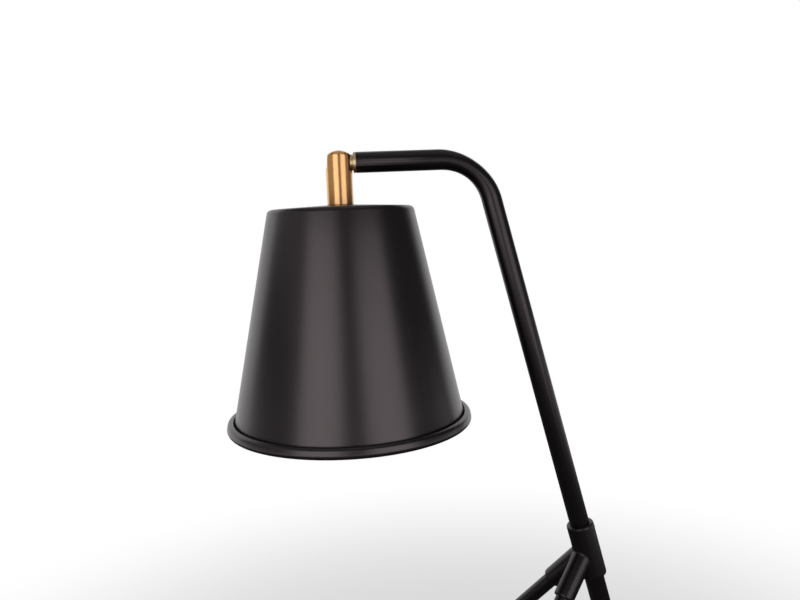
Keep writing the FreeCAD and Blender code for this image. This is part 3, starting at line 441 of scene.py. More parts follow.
def enamel(tree, shader, place):
    """White enamel sprayed inside the shade: satin, slightly warm, with a fine sprayed grain."""
    white = settings()[2].enamel
    grain = add_node(tree, "ShaderNodeTexNoise", {"Vector": place, "Scale": 1800.0, "Detail": 2.0})
    drift = add_node(tree, "ShaderNodeTexNoise", {"Vector": place, "Scale": 14.0, "Detail": 2.0})
    tone = add_node(tree, "ShaderNodeMix", {
        "Factor": drift.outputs["Fac"], "A": rgba(white, 0.95), "B": rgba(white),
    }, data_type="RGBA")
    bump = add_node(tree, "ShaderNodeBump", {
        "Height": grain.outputs["Fac"], "Strength": 0.08, "Distance": 0.05 * MM})
    feed(tree, shader, {
        "Base Color": tone.outputs[2],
        "Roughness": 0.42,
        "Normal": bump.outputs["Normal"],
    })


def brass(tree, shader, place, hue, stretch, roughness, mottle, drawn_out, painted_gap_shade):
    """Turned brass, left by the tool and lightly brushed: fine marks run round the turning axis,
    so highlights are drawn out along it. The marks are about 0.12 mm apart, drawn at 0.35 mm
    so that they show."""
    tint = tuple(getattr(settings()[2], hue))
    spread = add_node(tree, "ShaderNodeMapping", {"Vector": place, "Scale": stretch})
    marks = add_node(tree, "ShaderNodeTexNoise", {
        "Vector": spread.outputs["Vector"], "Scale": 1.0, "Detail": 3.0, "Roughness": 0.6})
    clouds = add_node(tree, "ShaderNodeTexNoise", {
        "Vector": place, "Scale": mottle, "Detail": 4.0, "Roughness": 0.6})
    both = add_node(tree, "ShaderNodeMath", {
        0: marks.outputs["Fac"], 1: clouds.outputs["Fac"]}, operation="ADD")
    wear = add_node(tree, "ShaderNodeMapRange", {
        "Value": both.outputs[0], "From Min": 0.7, "From Max": 1.3})
    worn = rgba([c * share for c, share in zip(tint, (0.93, 0.89, 0.84))])
    tone = add_node(tree, "ShaderNodeMix", {
        "Factor": wear.outputs["Result"], "A": worn, "B": rgba(tint)}, data_type="RGBA")
    if painted_gap_shade:
        # Painted shade: the arm flat, in the narrow gap to the bush, is darkened to 0.12 of the
        # brass colour, standing in for the shadow there.
        head = settings()[1]
        gap = PIVOT + Vector((head.flat_inner - 0.2 * MM, 0, -head.flat / 2 - 0.2 * MM))
        spot = add_node(tree, "ShaderNodeSeparateXYZ", {"Vector": place}).outputs
        beyond, above = (
            add_node(tree, "ShaderNodeMath", {0: way, 1: limit}, operation="GREATER_THAN")
            for way, limit in ((spot["X"], gap.x), (spot["Z"], gap.z)))
        inside = add_node(tree, "ShaderNodeMath", {
            0: beyond.outputs[0], 1: above.outputs[0]}, operation="MULTIPLY")
        tone = add_node(tree, "ShaderNodeMix", {
            "Factor": inside.outputs[0], "A": tone.outputs[2], "B": rgba(tint, 0.12),
        }, data_type="RGBA")
    rough = add_node(tree, "ShaderNodeMapRange", {
        "Value": marks.outputs["Fac"], "From Min": 0.3, "From Max": 0.7,
        "To Min": roughness[0], "To Max": roughness[1]})
    bump = add_node(tree, "ShaderNodeBump", {
        "Height": marks.outputs["Fac"], "Strength": 0.16, "Distance": 0.05 * MM})
    feed(tree, shader, {
        "Base Color": tone.outputs[2],
        "Metallic": 1.0,
        "Roughness": rough.outputs["Result"],
        "Anisotropic": drawn_out,
        "Anisotropic Rotation": 0.25,
        "Coat Weight": 1.0,
        "Coat IOR": 1.7,
        "Coat Roughness": 0.2,
        "Normal": bump.outputs["Normal"],
    })


def plain_metal(tree, shader, place, code, roughness, grain):
    """Small turned or stamped metal piece: plated or plain, with a fine grain."""
    tint = linear(code)
    grains = add_node(tree, "ShaderNodeTexNoise", {"Vector": place, "Scale": grain, "Detail": 3.0})
    tone = add_node(tree, "ShaderNodeMix", {
        "Factor": grains.outputs["Fac"], "A": rgba(tint, 0.8), "B": tint}, data_type="RGBA")
    bump = add_node(tree, "ShaderNodeBump", {
        "Height": grains.outputs["Fac"], "Strength": 0.15, "Distance": 0.04 * MM})
    feed(tree, shader, {
        "Base Color": tone.outputs[2],
        "Metallic": 1.0,
        "Roughness": roughness,
        "Normal": bump.outputs["Normal"],
    })


def moulded(tree, shader, place, code, roughness, grain, depth, strength=0.3):
    """Moulded or pressed material: an even colour with the fine grain of its mould."""
    tint = linear(code)
    grains = add_node(tree, "ShaderNodeTexNoise", {"Vector": place, "Scale": grain, "Detail": 4.0})
    drift = add_node(tree, "ShaderNodeTexNoise", {"Vector": place, "Scale": 60.0, "Detail": 2.0})
    tone = add_node(tree, "ShaderNodeMix", {
        "Factor": drift.outputs["Fac"], "A": rgba(tint, 0.85), "B": tint}, data_type="RGBA")
    rough = add_node(tree, "ShaderNodeMapRange", {
        "Value": grains.outputs["Fac"], "To Min": roughness - 0.05, "To Max": roughness + 0.05})
    bump = add_node(tree, "ShaderNodeBump", {
        "Height": grains.outputs["Fac"], "Strength": strength, "Distance": depth})
    feed(tree, shader, {
        "Base Color": tone.outputs[2],
        "Roughness": rough.outputs["Result"],
        "Normal": bump.outputs["Normal"],
    })


def opal(tree, shader, place):
    """Opal bulb glass: etched inside, so it looks milk white with a smooth glossy skin."""
    drift = add_node(tree, "ShaderNodeTexNoise", {"Vector": place, "Scale": 22.0, "Detail": 2.0})
    tone = add_node(tree, "ShaderNodeMix", {
        "Factor": drift.outputs["Fac"], "A": linear("EFEDE6"), "B": linear("FAF9F5"),
    }, data_type="RGBA")
    feed(tree, shader, {
        "Base Color": tone.outputs[2],
        "Roughness": 0.16,
        "Subsurface Weight": 0.35,
        "Subsurface Radius": (0.004, 0.004, 0.0035),
    })


def paper(tree, shader, place):
    """Matt seamless paper. Its own colour is a mid grey, which keeps the lamp's undersides dark;
    the camera sees it pale, and white away from the lamp. Reflections see the white farther out."""
    rays = add_node(tree, "ShaderNodeLightPath").outputs
    tone = add_node(tree, "ShaderNodeMix", {
        "Factor": rays["Is Camera Ray"], "A": linear("7A7A79"), "B": linear("F4F4F3"),
    }, data_type="RGBA")
    feed(tree, shader, {
        "Base Color": tone.outputs[2], "Roughness": 0.9, "Specular IOR Level": 0.1})
    reach = add_node(tree, "ShaderNodeVectorMath", {0: place}, operation="LENGTH").outputs["Value"]
    mirrored = add_node(tree, "ShaderNodeMath", {
        0: rays["Is Glossy Ray"], 1: rays["Is Transmission Ray"]}, operation="MAXIMUM").outputs[0]
    shown = []
    # The white grows from its least share to all between two distances, in metres.
    for kind, near, far, least in (
        (rays["Is Camera Ray"], 0.3, 0.8, 0.6), (mirrored, 0.9, 1.6, 0.0),
    ):
        fade = add_node(tree, "ShaderNodeMapRange", {
            "Value": reach, "From Min": near, "From Max": far, "To Min": least,
        }, interpolation_type="SMOOTHSTEP")
        shown.append(add_node(tree, "ShaderNodeMath", {
            0: fade.outputs["Result"], 1: kind}, operation="MULTIPLY").outputs[0])
    amount = add_node(tree, "ShaderNodeMath", {0: shown[0], 1: shown[1]}, operation="MAXIMUM")
    white = add_node(tree, "ShaderNodeEmission", {"Color": (1.0, 1.0, 1.0, 1.0), "Strength": 1.0})
    blend = add_node(tree, "ShaderNodeMixShader", {
        0: amount.outputs[0], 1: shader.outputs[0], 2: white.outputs[0]})
    tree.links.new(blend.outputs[0], tree.nodes["Material Output"].inputs["Surface"])


# Each finish with its function and what that takes. The two brasses: colour, stretch of the tool
# marks round the turning axis, least and most roughness, mottle, share drawn out, and whether
# the arm flat gets painted shade. The plain and moulded ones: colour, roughness, grains per
# metre and, where they differ, the depth and strength of the grain.
FINISHES = {
    "black_baked_lacquer": (lacquer, 1.6),
    "black_tube_lacquer": (lacquer, 1.45),
    "white_sprayed_enamel": (enamel,),
    # The satin brass carries painted shade on its arm flat, in the gap to the bush.
    "turned_brass_satin": (
        brass, "brass", (140.0, 140.0, 2900.0), (0.31, 0.36), 260.0, 0.95, True),
    "turned_brass_pale": (
        brass, "pale_brass", (2900.0, 140.0, 140.0), (0.38, 0.46), 420.0, 0.0, False),
    # Zinc plate on steel: cool grey and dull.
    "zinc_plated_steel": (plain_metal, "B9BBBD", 0.34, 900.0),
    # Brass as stamped: plain yellow.
    "plain_brass_stamping": (plain_metal, "D8B26A", 0.3, 900.0),
    # Aluminium as rolled: nearly white.
    "rolled_aluminium": (plain_metal, "D6D7D8", 0.26, 700.0),
    # Rubber from a blasted mould: black without a shine.
    "moulded_rubber": (moulded, "17181A", 0.72, 900.0, 0.12 * MM),
    # Phenolic resin from a polished mould: brownish black with a low gloss.
    "moulded_phenolic": (moulded, "16130F", 0.3, 500.0, 0.05 * MM, 0.12),
    # Steatite, pressed and unglazed: cream and chalky.
    "pressed_steatite": (moulded, "E4E0D4", 0.6, 1100.0, 0.1 * MM),
    # Vulcanised fibre sheet: nearly black and matt.
    "vulcanised_fibre": (moulded, "1A1614", 0.7, 1500.0, 0.06 * MM),
    # Extruded sleeve of the lead: off-white and smooth.
    "extruded_lead_sleeve": (moulded, "EDEBE4", 0.5, 700.0, 0.05 * MM),
    "opal_bulb_glass": (opal,),
    "matt_studio_paper": (paper,),
}


def finish(name):
    """The material of a finish, made when it is first asked for, in the piece's coordinates."""
    material = bpy.data.materials.get(name)
    if material is None:
        paint, *values = FINISHES[name]
        material = bpy.data.materials.new(name)
        material.use_nodes = True
        tree = material.node_tree
        place = add_node(tree, "ShaderNodeTexCoord").outputs["Object"]
        paint(tree, tree.nodes["Principled BSDF"], place, *values)
    return material


# ---- Pieces ----------------------------------------------------------------------------


def tube_tree():
    """Geometry nodes that carry a round section along the arm, the bend and the stem, and
    flatten it a little in the bend, as a bent tube is. The inputs are the tube's own sizes."""
    tree = bpy.data.node_groups.new("bent_tube", "GeometryNodeTree")
    face = tree.interface
    face.new_socket("Geometry", in_out="OUTPUT", socket_type="NodeSocketGeometry")
    for name, kind in (
        ("Start", "NodeSocketVector"), ("Corner", "NodeSocketVector"),
        ("End", "NodeSocketVector"), ("Bend radius", "NodeSocketFloat"),
        ("Bend middle", "NodeSocketVector"), ("Flattening", "NodeSocketFloat"),
        ("Tube radius", "NodeSocketFloat"), ("Finish", "NodeSocketMaterial"),
    ):
        face.new_socket(name, in_out="INPUT", socket_type=kind)
    given = add_node(tree, "NodeGroupInput").outputs
    first = add_node(tree, "GeometryNodeCurvePrimitiveLine", {
        "Start": given["Start"], "End": given["Corner"]})
    second = add_node(tree, "GeometryNodeCurvePrimitiveLine", {
        "Start": given["Corner"], "End": given["End"]})
    joined = add_node(tree, "GeometryNodeJoinGeometry")
    tree.links.new(first.outputs["Curve"], joined.inputs[0])
    tree.links.new(second.outputs["Curve"], joined.inputs[0])
    # The two lines become one by way of a welded edge chain.
    edges = add_node(tree, "GeometryNodeCurveToMesh", {"Curve": joined.outputs[0]})
    weld = add_node(tree, "GeometryNodeMergeByDistance", {
        "Geometry": edges.outputs["Mesh"], "Distance": 1e-5})
    path = add_node(tree, "GeometryNodeMeshToCurve", {"Mesh": weld.outputs["Geometry"]})
    rounded = add_node(tree, "GeometryNodeFilletCurve", {
        "Curve": path.outputs["Curve"], "Radius": given["Bend radius"], "Count": 56}, mode="POLY")
    section = add_node(tree, "GeometryNodeCurvePrimitiveCircle", {
        "Radius": given["Tube radius"], "Resolution": 72})
    swept = add_node(tree, "GeometryNodeCurveToMesh", {
        "Curve": rounded.outputs["Curve"], "Profile Curve": section.outputs["Curve"],
        "Fill Caps": True})
    # The section is drawn in towards the axis, in the bend's plane alone, and less and less
    # towards the bend's ends.
    spot = add_node(tree, "GeometryNodeInputPosition").outputs["Position"]
    line = add_node(tree, "GeometryNodeCurveToMesh", {"Curve": rounded.outputs["Curve"]})
    axis = add_node(tree, "GeometryNodeProximity", {
        "Target": line.outputs["Mesh"]}, target_element="EDGES")
    inwards = add_node(tree, "ShaderNodeVectorMath", {
        0: axis.outputs["Position"], 1: spot}, operation="SUBTRACT")
    in_plane = add_node(tree, "ShaderNodeVectorMath", {
        0: inwards.outputs["Vector"], 1: (1.0, 0.0, 1.0)}, operation="MULTIPLY")
    away = add_node(tree, "ShaderNodeVectorMath", {
        0: axis.outputs["Position"], 1: given["Bend middle"]}, operation="DISTANCE")
    half = add_node(tree, "ShaderNodeMath", {
        0: given["Bend radius"], 1: 0.8}, operation="MULTIPLY")
    share = add_node(tree, "ShaderNodeMapRange", {
        "Value": away.outputs["Value"], "From Max": half.outputs[0],
        "To Min": given["Flattening"], "To Max": 0.0}, interpolation_type="SMOOTHSTEP")
    draw = add_node(tree, "ShaderNodeVectorMath", {
        0: in_plane.outputs["Vector"], "Scale": share.outputs["Result"]}, operation="SCALE")
    pressed = add_node(tree, "GeometryNodeSetPosition", {
        "Geometry": swept.outputs["Mesh"], "Offset": draw.outputs["Vector"]})
    smooth = add_node(tree, "GeometryNodeSetShadeSmooth", {"Geometry": pressed.outputs["Geometry"]})
    real = add_node(tree, "GeometryNodeRealizeInstances", {"Geometry": smooth.outputs[0]})
    painted = add_node(tree, "GeometryNodeSetMaterial", {
        "Geometry": real.outputs[0], "Material": given["Finish"]})
    add_node(tree, "NodeGroupOutput", {"Geometry": painted.outputs[0]})
    return tree


def grown(name, tree, values):
    """A mesh piece made by a geometry node tree from named values."""
    mesh = bpy.data.meshes.new(name)
    thing = bpy.data.objects.new(name, mesh)
    bpy.context.scene.collection.objects.link(thing)
    change = thing.modifiers.new(name, "NODES")
    change.node_group = tree
    for item in tree.interface.items_tree:
        if item.in_out == "INPUT" and item.name in values:
            change[item.identifier] = values[item.name]
    return settle(thing)


class LampPieceOperator(bpy.types.Operator):
    """Base of the operators that build pieces"""
    bl_options = {"REGISTER", "UNDO"}


class LAMP_OT_main_tube(LampPieceOperator):
    """Build the main tube: arm, bend and rear leg in one length"""
    bl_idname = "lamp.main_tube"
    bl_label = "Main tube"

    def execute(self, context):
        tube = settings()[0]
        top, heel, _, inlet = stem_places(tube)
        down = stem_turn(tube) @ Vector((0, 0, 1))
        start = PIVOT + Vector((tube.tube_start, 0, 0))
        corner_drop = (top.z - PIVOT.z) / down.z
        corner = top - down * corner_drop
        half = (math.pi / 2 - tube.lean) / 2
        middle = PIVOT + Vector((
            tube.reach + tube.bend * math.sin(half), 0, tube.bend * (math.cos(half) - 1)))
        values = {
            "Start": start, "Corner": corner, "End": heel - down * tube.tip_pad,
            "Bend radius": tube.bend, "Bend middle": middle, "Flattening": tube.flattening,
            "Tube radius": tube.tube / 2, "Finish": finish("black_tube_lacquer"),
        }
        thing = grown("tube_arm_and_stem", tube_tree(), values)
        past = 1 * MM   # The bore's tool stands out of both ends of the tube.
        bore = dict(values, **{
            "Tube radius": tube.tube / 2 - tube.tube_wall,
            "Start": start - Vector((past, 0, 0)),
            "End": heel - down * (tube.tip_pad - past),
        })
        carve(thing, grown("tube_bore", tube_tree(), bore))
        out = out_of_stem(tube)
        carve(thing, cylinder_tool("inlet_drill", 4.05 * MM, 0, tube.tube, out, inlet, steps=48))
        finish_edges(thing, 0.25 * MM, limit=40.0, steps=2)
        dress(thing, "stand", "black_lacquer", "black_tube_lacquer", stands_for=["main_tube"])
        return {"FINISHED"}


class LAMP_OT_arm_bush(LampPieceOperator):
    """Build the flanged brass bush at the arm's end"""
    bl_idname = "lamp.arm_bush"
    bl_label = "Arm bush"

    def execute(self, context):
        tube, head = settings()[:2]
        left = head.flat_inner + head.rub + FIT
        neck = head.neck / 2
        flange = head.flange / 2
        face = left + head.neck_length
        back = face + head.flange_thick
        shank = tube.tube / 2 - tube.tube_wall - FIT
        shank_end = back + 20 * MM
        edge, chamfer, throat = 0.55 * MM, 0.3 * MM, 0.25 * MM
        outline = [(SPINDLE_HOLE, left), (neck - chamfer, left), (neck, left + chamfer)]
        outline += [(neck, face - throat), (neck + throat, face)]
        outline += arc((flange - edge, face + edge), edge, -90, 0, 5)
        outline += arc((flange - edge, back - edge), edge, 0, 90, 5)
        outline += [(shank, back), (shank, shank_end), (SPINDLE_HOLE, shank_end)]
        thing = piece_from(turned_mesh("bush", outline), "bush_arm_end", ALONG_X, PIVOT)
        thing.data.set_sharp_from_angle(angle=math.radians(40))
        dress(thing, "stand", "satin_brass", "turned_brass_pale", stands_for=["arm_end_bush"])
        return {"FINISHED"}


class LAMP_OT_swivel(LampPieceOperator):
    """Build the brass swivel body and its plug"""
    bl_idname = "lamp.swivel"
    bl_label = "Swivel body"

    def execute(self, context):
        head = settings()[1]
        radius = head.swivel / 2
        centre = head.dome_rise - head.dome_radius
        edge = math.degrees(math.acos(radius / head.dome_radius))
        chamfer = 0.5 * MM
        outline = [(NIPPLE_HOLE, -head.drop), (radius - chamfer, -head.drop)]
        outline += [(radius, chamfer - head.drop)]
        outline += arc((0, centre), head.dome_radius, edge, 90, 16)
        outline[-1] = (0, head.dome_rise)
        # Inside, a narrow way for the lead opens into the wider hole for the nipple.
        way, way_top, way_low = 3 * MM, -4 * MM, -14.2 * MM
        outline += [(0, way_top), (way, way_top), (way, way_low), (NIPPLE_HOLE, way_low)]
        mesh = turned_mesh("swivel", outline, steps=128)
        thing = piece_from(mesh, "swivel_turned_body", None, PIVOT)
        far = 30 * MM
        out = Euler((0, head.flat_taper - math.pi / 2, 0)).to_matrix()
        flat_at = PIVOT - Vector((head.flat_outer, 0, 0))
        for start, end, bore, turn, base in (
            (0, far, head.flat_wide / 2, out, flat_at),
            (head.flat_inner, far, head.flat / 2, ALONG_X, PIVOT),
            (-far, head.flat_inner - 2.5 * MM, head.chamber / 2, ALONG_X, PIVOT),
            (0, far, SPINDLE_HOLE, ALONG_X, PIVOT),
        ):
            carve(thing, cylinder_tool("swivel_cutter", bore, start, end, turn, base))
        # Both flats run out through the domed top.
        wide, high = 15 * MM, 20 * MM
        for start, rise, turn, base in (
            (0, high, out, flat_at), (head.flat_inner, -high, ALONG_X, PIVOT),
        ):
            low, top = (0, -wide, start), (rise, wide, far)
            carve(thing, block_tool("swivel_cutter", low, top, turn, base))
        finish_edges(thing, 0.22 * MM, limit=28.0)
        shade_round(thing, PIVOT, radius, (centre, head.dome_radius), edge, soft=18.0)
        dress(thing, "head", "satin_brass", "turned_brass_satin", stands_for=["swivel_body"])
        plug = head.chamber / 2 - FIT
        face, chamfer = -head.plug_face, 0.3 * MM
        back = face + 2 * MM
        outline = [(0, face), (plug - chamfer, face), (plug, face + chamfer)]
        outline += [(plug, back), (0, back)]
        mesh = turned_mesh("plug", outline, closed=False)
        cap = piece_from(mesh, "swivel_side_plug", ALONG_X, PIVOT)
        cap.data.set_sharp_from_angle(angle=math.radians(30))
        dress(cap, "head", "satin_brass", "turned_brass_satin", stands_for=["swivel_plug"])
        return {"FINISHED"}


class LAMP_OT_shade(LampPieceOperator):
    """Build the spun shade with its rolled bead"""
    bl_idname = "lamp.shade"
    bl_label = "Shade"

    def execute(self, context):
        head = settings()[1]
        core = head.bead - head.wall
        roof = -head.drop
        out, down = head.ring - head.top, head.ring_drop - head.drop - head.crown
        slope = math.atan2(out, down) - math.asin(core / math.hypot(out, down))
        tilt = math.degrees(slope)
        fall = math.degrees(math.atan2(head.crown, head.top - head.seat))
        corner = corner_arc((head.top, roof - head.crown), -fall, tilt - 90, head.corner, 12)
        low = (head.ring, -head.ring_drop)
        high = (low[0] - head.bead_flat * math.sin(slope),
                low[1] + head.bead_flat * math.cos(slope))
        curl = arc(low, core, 180 + tilt, 360 + tilt, 22)
        curl += arc(high, core, tilt, tilt + math.degrees(head.curl) - 180, 14)
        cone = [tuple(a + (b - a) * k / 8 for a, b in zip(corner[-1], curl[0]))
                for k in range(1, 8)]
        path = [(NIPPLE_HOLE, roof), (head.seat, roof)] + corner + cone
        rim = len(path)
        outline = bent_sheet(path + curl, head.wall)
        # Lacquer covers the outer face and the whole curl, enamel the inner face.
        tints = [0] * (len(outline) - rim - 1) + [1] * (rim + 1)
        mesh = turned_mesh("shade", outline, steps=224, tints=tints)
        thing = piece_from(mesh, "shade_spun", None, PIVOT)
        thing.data.set_sharp_from_angle(angle=math.radians(50))
        dress(thing, "head", "shade_lacquer", "black_baked_lacquer", "white_sprayed_enamel",
              stands_for=["shade"])
        return {"FINISHED"}


class LAMP_OT_legs(LampPieceOperator):
    """Build the hub, the front legs and the rubber feet"""
    bl_idname = "lamp.legs"
    bl_label = "Hub, legs and feet"

    def execute(self, context):
        tube = settings()[0]
        top, heel, hub, _ = stem_places(tube)
        sleeve = tube.tube / 2 + FIT + tube.hub_wall
        half = tube.hub_length / 2
        socket = tube.leg / 2 + FIT + tube.socket_wall
        socket_end = tube.socket_start + tube.socket_depth
        edge = 1.2 * MM
        outline = [(0, -half)] + arc((sleeve - edge, edge - half), edge, -90, 0, 6)
        outline += arc((sleeve - edge, half - edge), edge, 0, 90, 6) + [(0, half)]
        mesh = turned_mesh("hub", outline, closed=False)
        casting = piece_from(mesh, "hub_cast", stem_turn(tube), hub)
        frames = leg_frames(tube)
        for name, turn, _ in frames:
            outline = [(0, 0), (socket, 0)]
            outline += arc((socket - edge, socket_end - edge), edge, 0, 90, 6) + [(0, socket_end)]
            mesh = turned_mesh("socket", outline, closed=False)
            carve(casting, piece_from(mesh, "socket_" + name, turn, hub), "UNION")
        # Fine remeshing and a light smoothing give the fillets of a casting at the joins.
        remesh = casting.modifiers.new("remesh", "REMESH")
        remesh.mode = "VOXEL"
        remesh.voxel_size = 0.55 * MM
        remesh.use_smooth_shade = True
        relax = casting.modifiers.new("relax", "CORRECTIVE_SMOOTH")
        relax.iterations = 6
        relax.use_only_smooth = True
        settle(casting)
        far = 50 * MM
        bore = tube.tube / 2 + FIT
        carve(casting, cylinder_tool("stem_bore", bore, -far, far, stem_turn(tube), hub))
        bore, far = tube.leg / 2 + FIT, 80 * MM
        for _, turn, _ in frames:
            carve(casting, cylinder_tool("leg_bore", bore, tube.socket_start, far, turn, hub))
        finish_edges(casting, 0, limit=40.0)
        dress(casting, "stand", "black_lacquer", "black_tube_lacquer", stands_for=["leg_hub"])
        for name, turn, total in frames:
            radius, bore = tube.leg / 2, tube.leg / 2 - tube.leg_wall
            low, high = tube.socket_start, total - tube.tip_pad
            outline = [(bore, low), (radius, low), (radius, high), (bore, high)]
            mesh = turned_mesh("leg", outline, steps=72)
            leg = piece_from(mesh, "leg_front_" + name, turn, hub)
            leg.data.set_sharp_from_angle(angle=math.radians(40))
            dress(leg, "stand", "black_lacquer", "black_tube_lacquer",
                  stands_for=["front_leg_" + name])
        feet = [("rear", tube.tube / 2, (heel - top).length, stem_turn(tube), top)]
        feet += [(name, tube.leg / 2, total, turn, hub) for name, turn, total in frames]
        for name, radius, total, turn, base in feet:
            self.foot(tube, name, radius, total, turn, base)
        return {"FINISHED"}

    def foot(self, tube, name, radius, total, turn, base):
        """A rubber tip with three shallow rings, cut level with the table."""
        inner = radius + FIT
        outer = radius + tube.tip_wall
        floor = total - tube.tip_pad
        top = floor - tube.tip_cover
        edge = 1.2 * MM
        outline = [(0, floor), (inner, floor), (inner, top)]
        outline += arc((outer - edge, top + edge), edge, -90, 0, 5)
        # The first ring is 4 mm below the rubber's edge, and the rings are 2.6 mm apart.
        half_mouth, half_root, depth = 0.45 * MM, 0.2 * MM, 0.35 * MM
        for k in range(3):
            ring = top + (4.0 + 2.6 * k) * MM
            outline += [(outer, ring - half_mouth), (outer - depth, ring - half_root)]
            outline += [(outer - depth, ring + half_root), (outer, ring + half_mouth)]
        outline += [(outer, total + outer), (0, total + outer)]
        mesh = turned_mesh("foot", outline, steps=80, closed=False)
        tip = piece_from(mesh, "foot_tip_" + name, turn, base)
        form = bmesh.new()
        form.from_mesh(mesh)
        whole = form.verts[:] + form.edges[:] + form.faces[:]
        cut = bmesh.ops.bisect_plane(
            form, geom=whole, plane_co=(0, 0, 0), plane_no=(0, 0, -1), clear_outer=True)
        rim = [e for e in cut["geom_cut"] if isinstance(e, bmesh.types.BMEdge)]
        bmesh.ops.contextual_create(form, geom=rim)
        bmesh.ops.recalc_face_normals(form, faces=form.faces[:])
        form.to_mesh(mesh)
        form.free()
        mesh.set_sharp_from_angle(angle=math.radians(35))
        dress(tip, "stand", "black_rubber", "moulded_rubber", stands_for=["foot_" + name])


class LAMP_OT_grommet(LampPieceOperator):
    """Build the rubber grommet in the cord inlet"""
    bl_idname = "lamp.grommet"
    bl_label = "Cord grommet"

    def execute(self, context):
        tube = settings()[0]
        inlet = stem_places(tube)[3]
        turn = out_of_stem(tube)
        skin = tube.tube / 2
        far = 20 * MM
        # Heights are from the stem's axis: the collar sits on the tube, the neck goes through it.
        flange, face, edge = 5.7 * MM, 9.5 * MM, 0.75 * MM
        outline = [(0, 4 * MM), (flange, 4 * MM)]
        outline += arc((4.95 * MM, 8.75 * MM), edge, 0, 90, 5) + [(0, face)]
        mesh = turned_mesh("collar", outline, steps=72, closed=False)
        collar = piece_from(mesh, "grommet_inlet", turn, inlet)
        carve(collar, cylinder_tool("saddle", skin, -far, far, stem_turn(tube), inlet))
        lip, neck = 4.45 * MM, 4.0 * MM
        outline = [(0, 3.2 * MM), (lip, 3.2 * MM), (lip, 4.6 * MM), (neck, 4.7 * MM)]
        outline += [(neck, 8.9 * MM), (0, 8.9 * MM)]
        mesh = turned_mesh("neck", outline, steps=72, closed=False)
        carve(collar, piece_from(mesh, "grommet_neck", turn, inlet), "UNION")
        carve(collar, cylinder_tool("cord_way", 2.7 * MM, 0, far, turn, inlet, steps=48))
        finish_edges(collar, 0.2 * MM, limit=40.0, steps=2)
        dress(collar, "stand", "black_rubber", "moulded_rubber", stands_for=["cord_grommet"])
        return {"FINISHED"}


class LAMP_OT_inner_parts(LampPieceOperator):
    """Give the small CAD pieces their finishes"""
    bl_idname = "lamp.inner_parts"
    bl_label = "Small inner parts"

    def execute(self, context):
        finishes = {
            "zinc_plated_steel": [
                "swivel_spindle", "spindle_nut", "spring_washer", "stop_pin", "nipple",
                "shade_washer", "shade_nut", "hub_grub_screws"],
            "plain_brass_stamping": [
                "screw_shell", "centre_contact", "terminals", "terminal_screws"],
            "moulded_phenolic": ["holder_cap", "holder_body"],
            "pressed_steatite": ["contact_block"],
            "vulcanised_fibre": ["friction_washer"],
            "rolled_aluminium": ["bulb_cap", "bulb_contact"],
            "opal_bulb_glass": ["bulb_glass"],
            "extruded_lead_sleeve": ["lead_stem", "lead_head"],
        }
        for look, names in finishes.items():
            for name in names:
                thing = frame["nodes"][name]
                thing.data.materials.clear()
                thing.data.materials.append(finish(look))
        return {"FINISHED"}


# ---- Studio ----------------------------------------------------------------------------


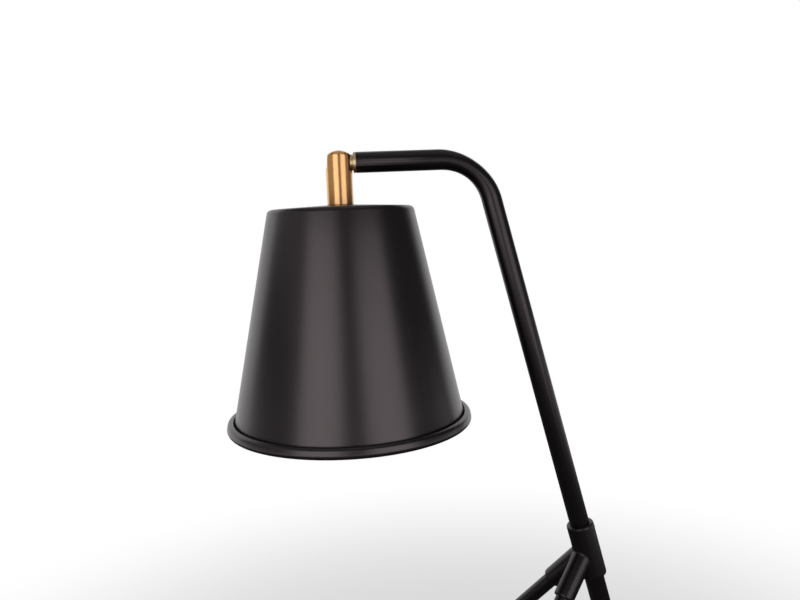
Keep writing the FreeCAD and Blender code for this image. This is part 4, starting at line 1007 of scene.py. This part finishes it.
class LAMP_OT_studio(LampPieceOperator):
    """Build the floor, the backdrop, the lights and the camera"""
    bl_idname = "lamp.studio"
    bl_label = "Studio"

    def execute(self, context):
        self.paper()
        self.camera(context.scene)
        self.lights()
        self.world(context.scene)
        return {"FINISHED"}

    def paper(self):
        """A wide sheet on the floor and an upright one behind the lamp, sizes in metres."""
        side, back, right, high = 7.0, 3.2, 3.6, 4
        for name, corners in (
            ("studio_floor", [
                (-side, -side, 0), (side, -side, 0), (side, side, 0), (-side, side, 0)]),
            ("studio_backdrop", [
                (-side, back, 0), (right, back, 0), (right, back, high), (-side, back, high)]),
        ):
            mesh = bpy.data.meshes.new(name)
            mesh.from_pydata(corners, [], [(0, 1, 2, 3)])
            thing = bpy.data.objects.new(name, mesh)
            bpy.context.scene.collection.objects.link(thing)
            mesh.materials.append(finish("matt_studio_paper"))

    def camera(self, scene):
        """The photograph's view: close to the shade and level with its upper part, turned a
        little to the right and down, and slightly rolled."""
        pan, tip, roll = (math.radians(a) for a in (-2.9, -6.06, 2.183))
        focal, width = 706.2, 800   # In pixels of the photograph.
        distance, aside, below = 0.54, 0.04685, 0.10473     # From the pivot, in metres.
        turn = Matrix.Rotation(pan, 3, "Z")
        turn = turn @ Matrix.Rotation(tip, 3, "X") @ Matrix.Rotation(roll, 3, "Y")
        right, ahead, up = (turn.col[i] for i in range(3))
        data = bpy.data.cameras.new("studio_camera")
        data.sensor_width = 36.0
        data.lens = focal / width * 36.0
        data.clip_start = 0.01
        camera = bpy.data.objects.new("studio_camera", data)
        scene.collection.objects.link(camera)
        eye = PIVOT - ahead * distance + right * aside - up * below
        camera.matrix_world = Matrix((
            (right.x, up.x, -ahead.x, eye.x),
            (right.y, up.y, -ahead.y, eye.y),
            (right.z, up.z, -ahead.z, eye.z),
            (0, 0, 0, 1),
        ))
        scene.camera = camera

    def lights(self):
        """Two softboxes beside the camera, whose gap is the dark valley in the brass, a weak one
        overhead and a dim card at the left. Bearing and rise are in degrees, seen from a point
        below the pivot, and sizes in metres."""
        aim = PIVOT + Vector((0, 0, -0.08))
        for name, bearing, rise, distance, width, height, radiance in (
            ("softbox_left", -27.0, 8.0, 1.5, 1.15, 1.0, 2.1),
            ("softbox_right", 37.0, 5.0, 1.5, 1.15, 0.9, 1.9),
            ("softbox_top", 0.0, 88.0, 1.7, 2.0, 2.0, 0.3),
            ("card_left", -90.0, 26.0, 1.6, 2.2, 0.9, 0.36),
        ):
            a, e = math.radians(bearing), math.radians(rise)
            way = Vector((math.sin(a) * math.cos(e), -math.cos(a) * math.cos(e), math.sin(e)))
            data = bpy.data.lights.new(name, "AREA")
            data.shape = "RECTANGLE"
            data.size, data.size_y = width, height
            data.energy = radiance * math.pi * width * height
            lamp = bpy.data.objects.new(name, data)
            bpy.context.scene.collection.objects.link(lamp)
            lamp.location = aim + way * distance
            lamp.rotation_euler = (-way).to_track_quat("-Z", "Y").to_euler()

    def world(self, scene):
        """White to the camera, a plain dark grey to everything else."""
        world = bpy.data.worlds.new("studio_room")
        world.use_nodes = True
        tree = world.node_tree
        back = tree.nodes["Background"]
        rays = add_node(tree, "ShaderNodeLightPath").outputs
        dark, white = (0.10, 0.10, 0.10, 1.0), (1.0, 1.0, 1.0, 1.0)
        tone = add_node(tree, "ShaderNodeMix", {
            "Factor": rays["Is Camera Ray"], "A": dark, "B": white}, data_type="RGBA")
        feed(tree, back, {"Color": tone.outputs[2]})
        scene.world = world
        scene.view_settings.view_transform = "Standard"


class LAMP_PT_panel(bpy.types.Panel):
    """The lamp's sizes, colours and build steps"""
    bl_label = "Tripod table lamp"
    bl_idname = "LAMP_PT_panel"
    bl_space_type = "VIEW_3D"
    bl_region_type = "UI"
    bl_category = "Lamp"

    def draw(self, context):
        layout = self.layout
        for group in settings():
            box = layout.box()
            for name in type(group).__annotations__:
                box.prop(group, name)
        for step in STEPS:
            layout.operator(step.bl_idname)


STEPS = (
    LAMP_OT_main_tube, LAMP_OT_arm_bush, LAMP_OT_swivel, LAMP_OT_shade, LAMP_OT_legs,
    LAMP_OT_grommet, LAMP_OT_inner_parts, LAMP_OT_studio,
)
CLASSES = (LampTubeSizes, LampHeadSizes, LampColours) + STEPS + (LAMP_PT_panel,)


def register():
    for kind in CLASSES:
        bpy.utils.register_class(kind)
    scene = bpy.types.Scene
    scene.lamp_tube = bpy.props.PointerProperty(type=LampTubeSizes)
    scene.lamp_head = bpy.props.PointerProperty(type=LampHeadSizes)
    scene.lamp_colours = bpy.props.PointerProperty(type=LampColours)


def unregister():
    for name in ("lamp_tube", "lamp_head", "lamp_colours"):
        delattr(bpy.types.Scene, name)
    for kind in reversed(CLASSES):
        bpy.utils.unregister_class(kind)


def main():
    register()
    for step in STEPS:
        area, name = step.bl_idname.split(".")
        getattr(getattr(bpy.ops, area), name)()


if __name__ == "__main__":
    main()
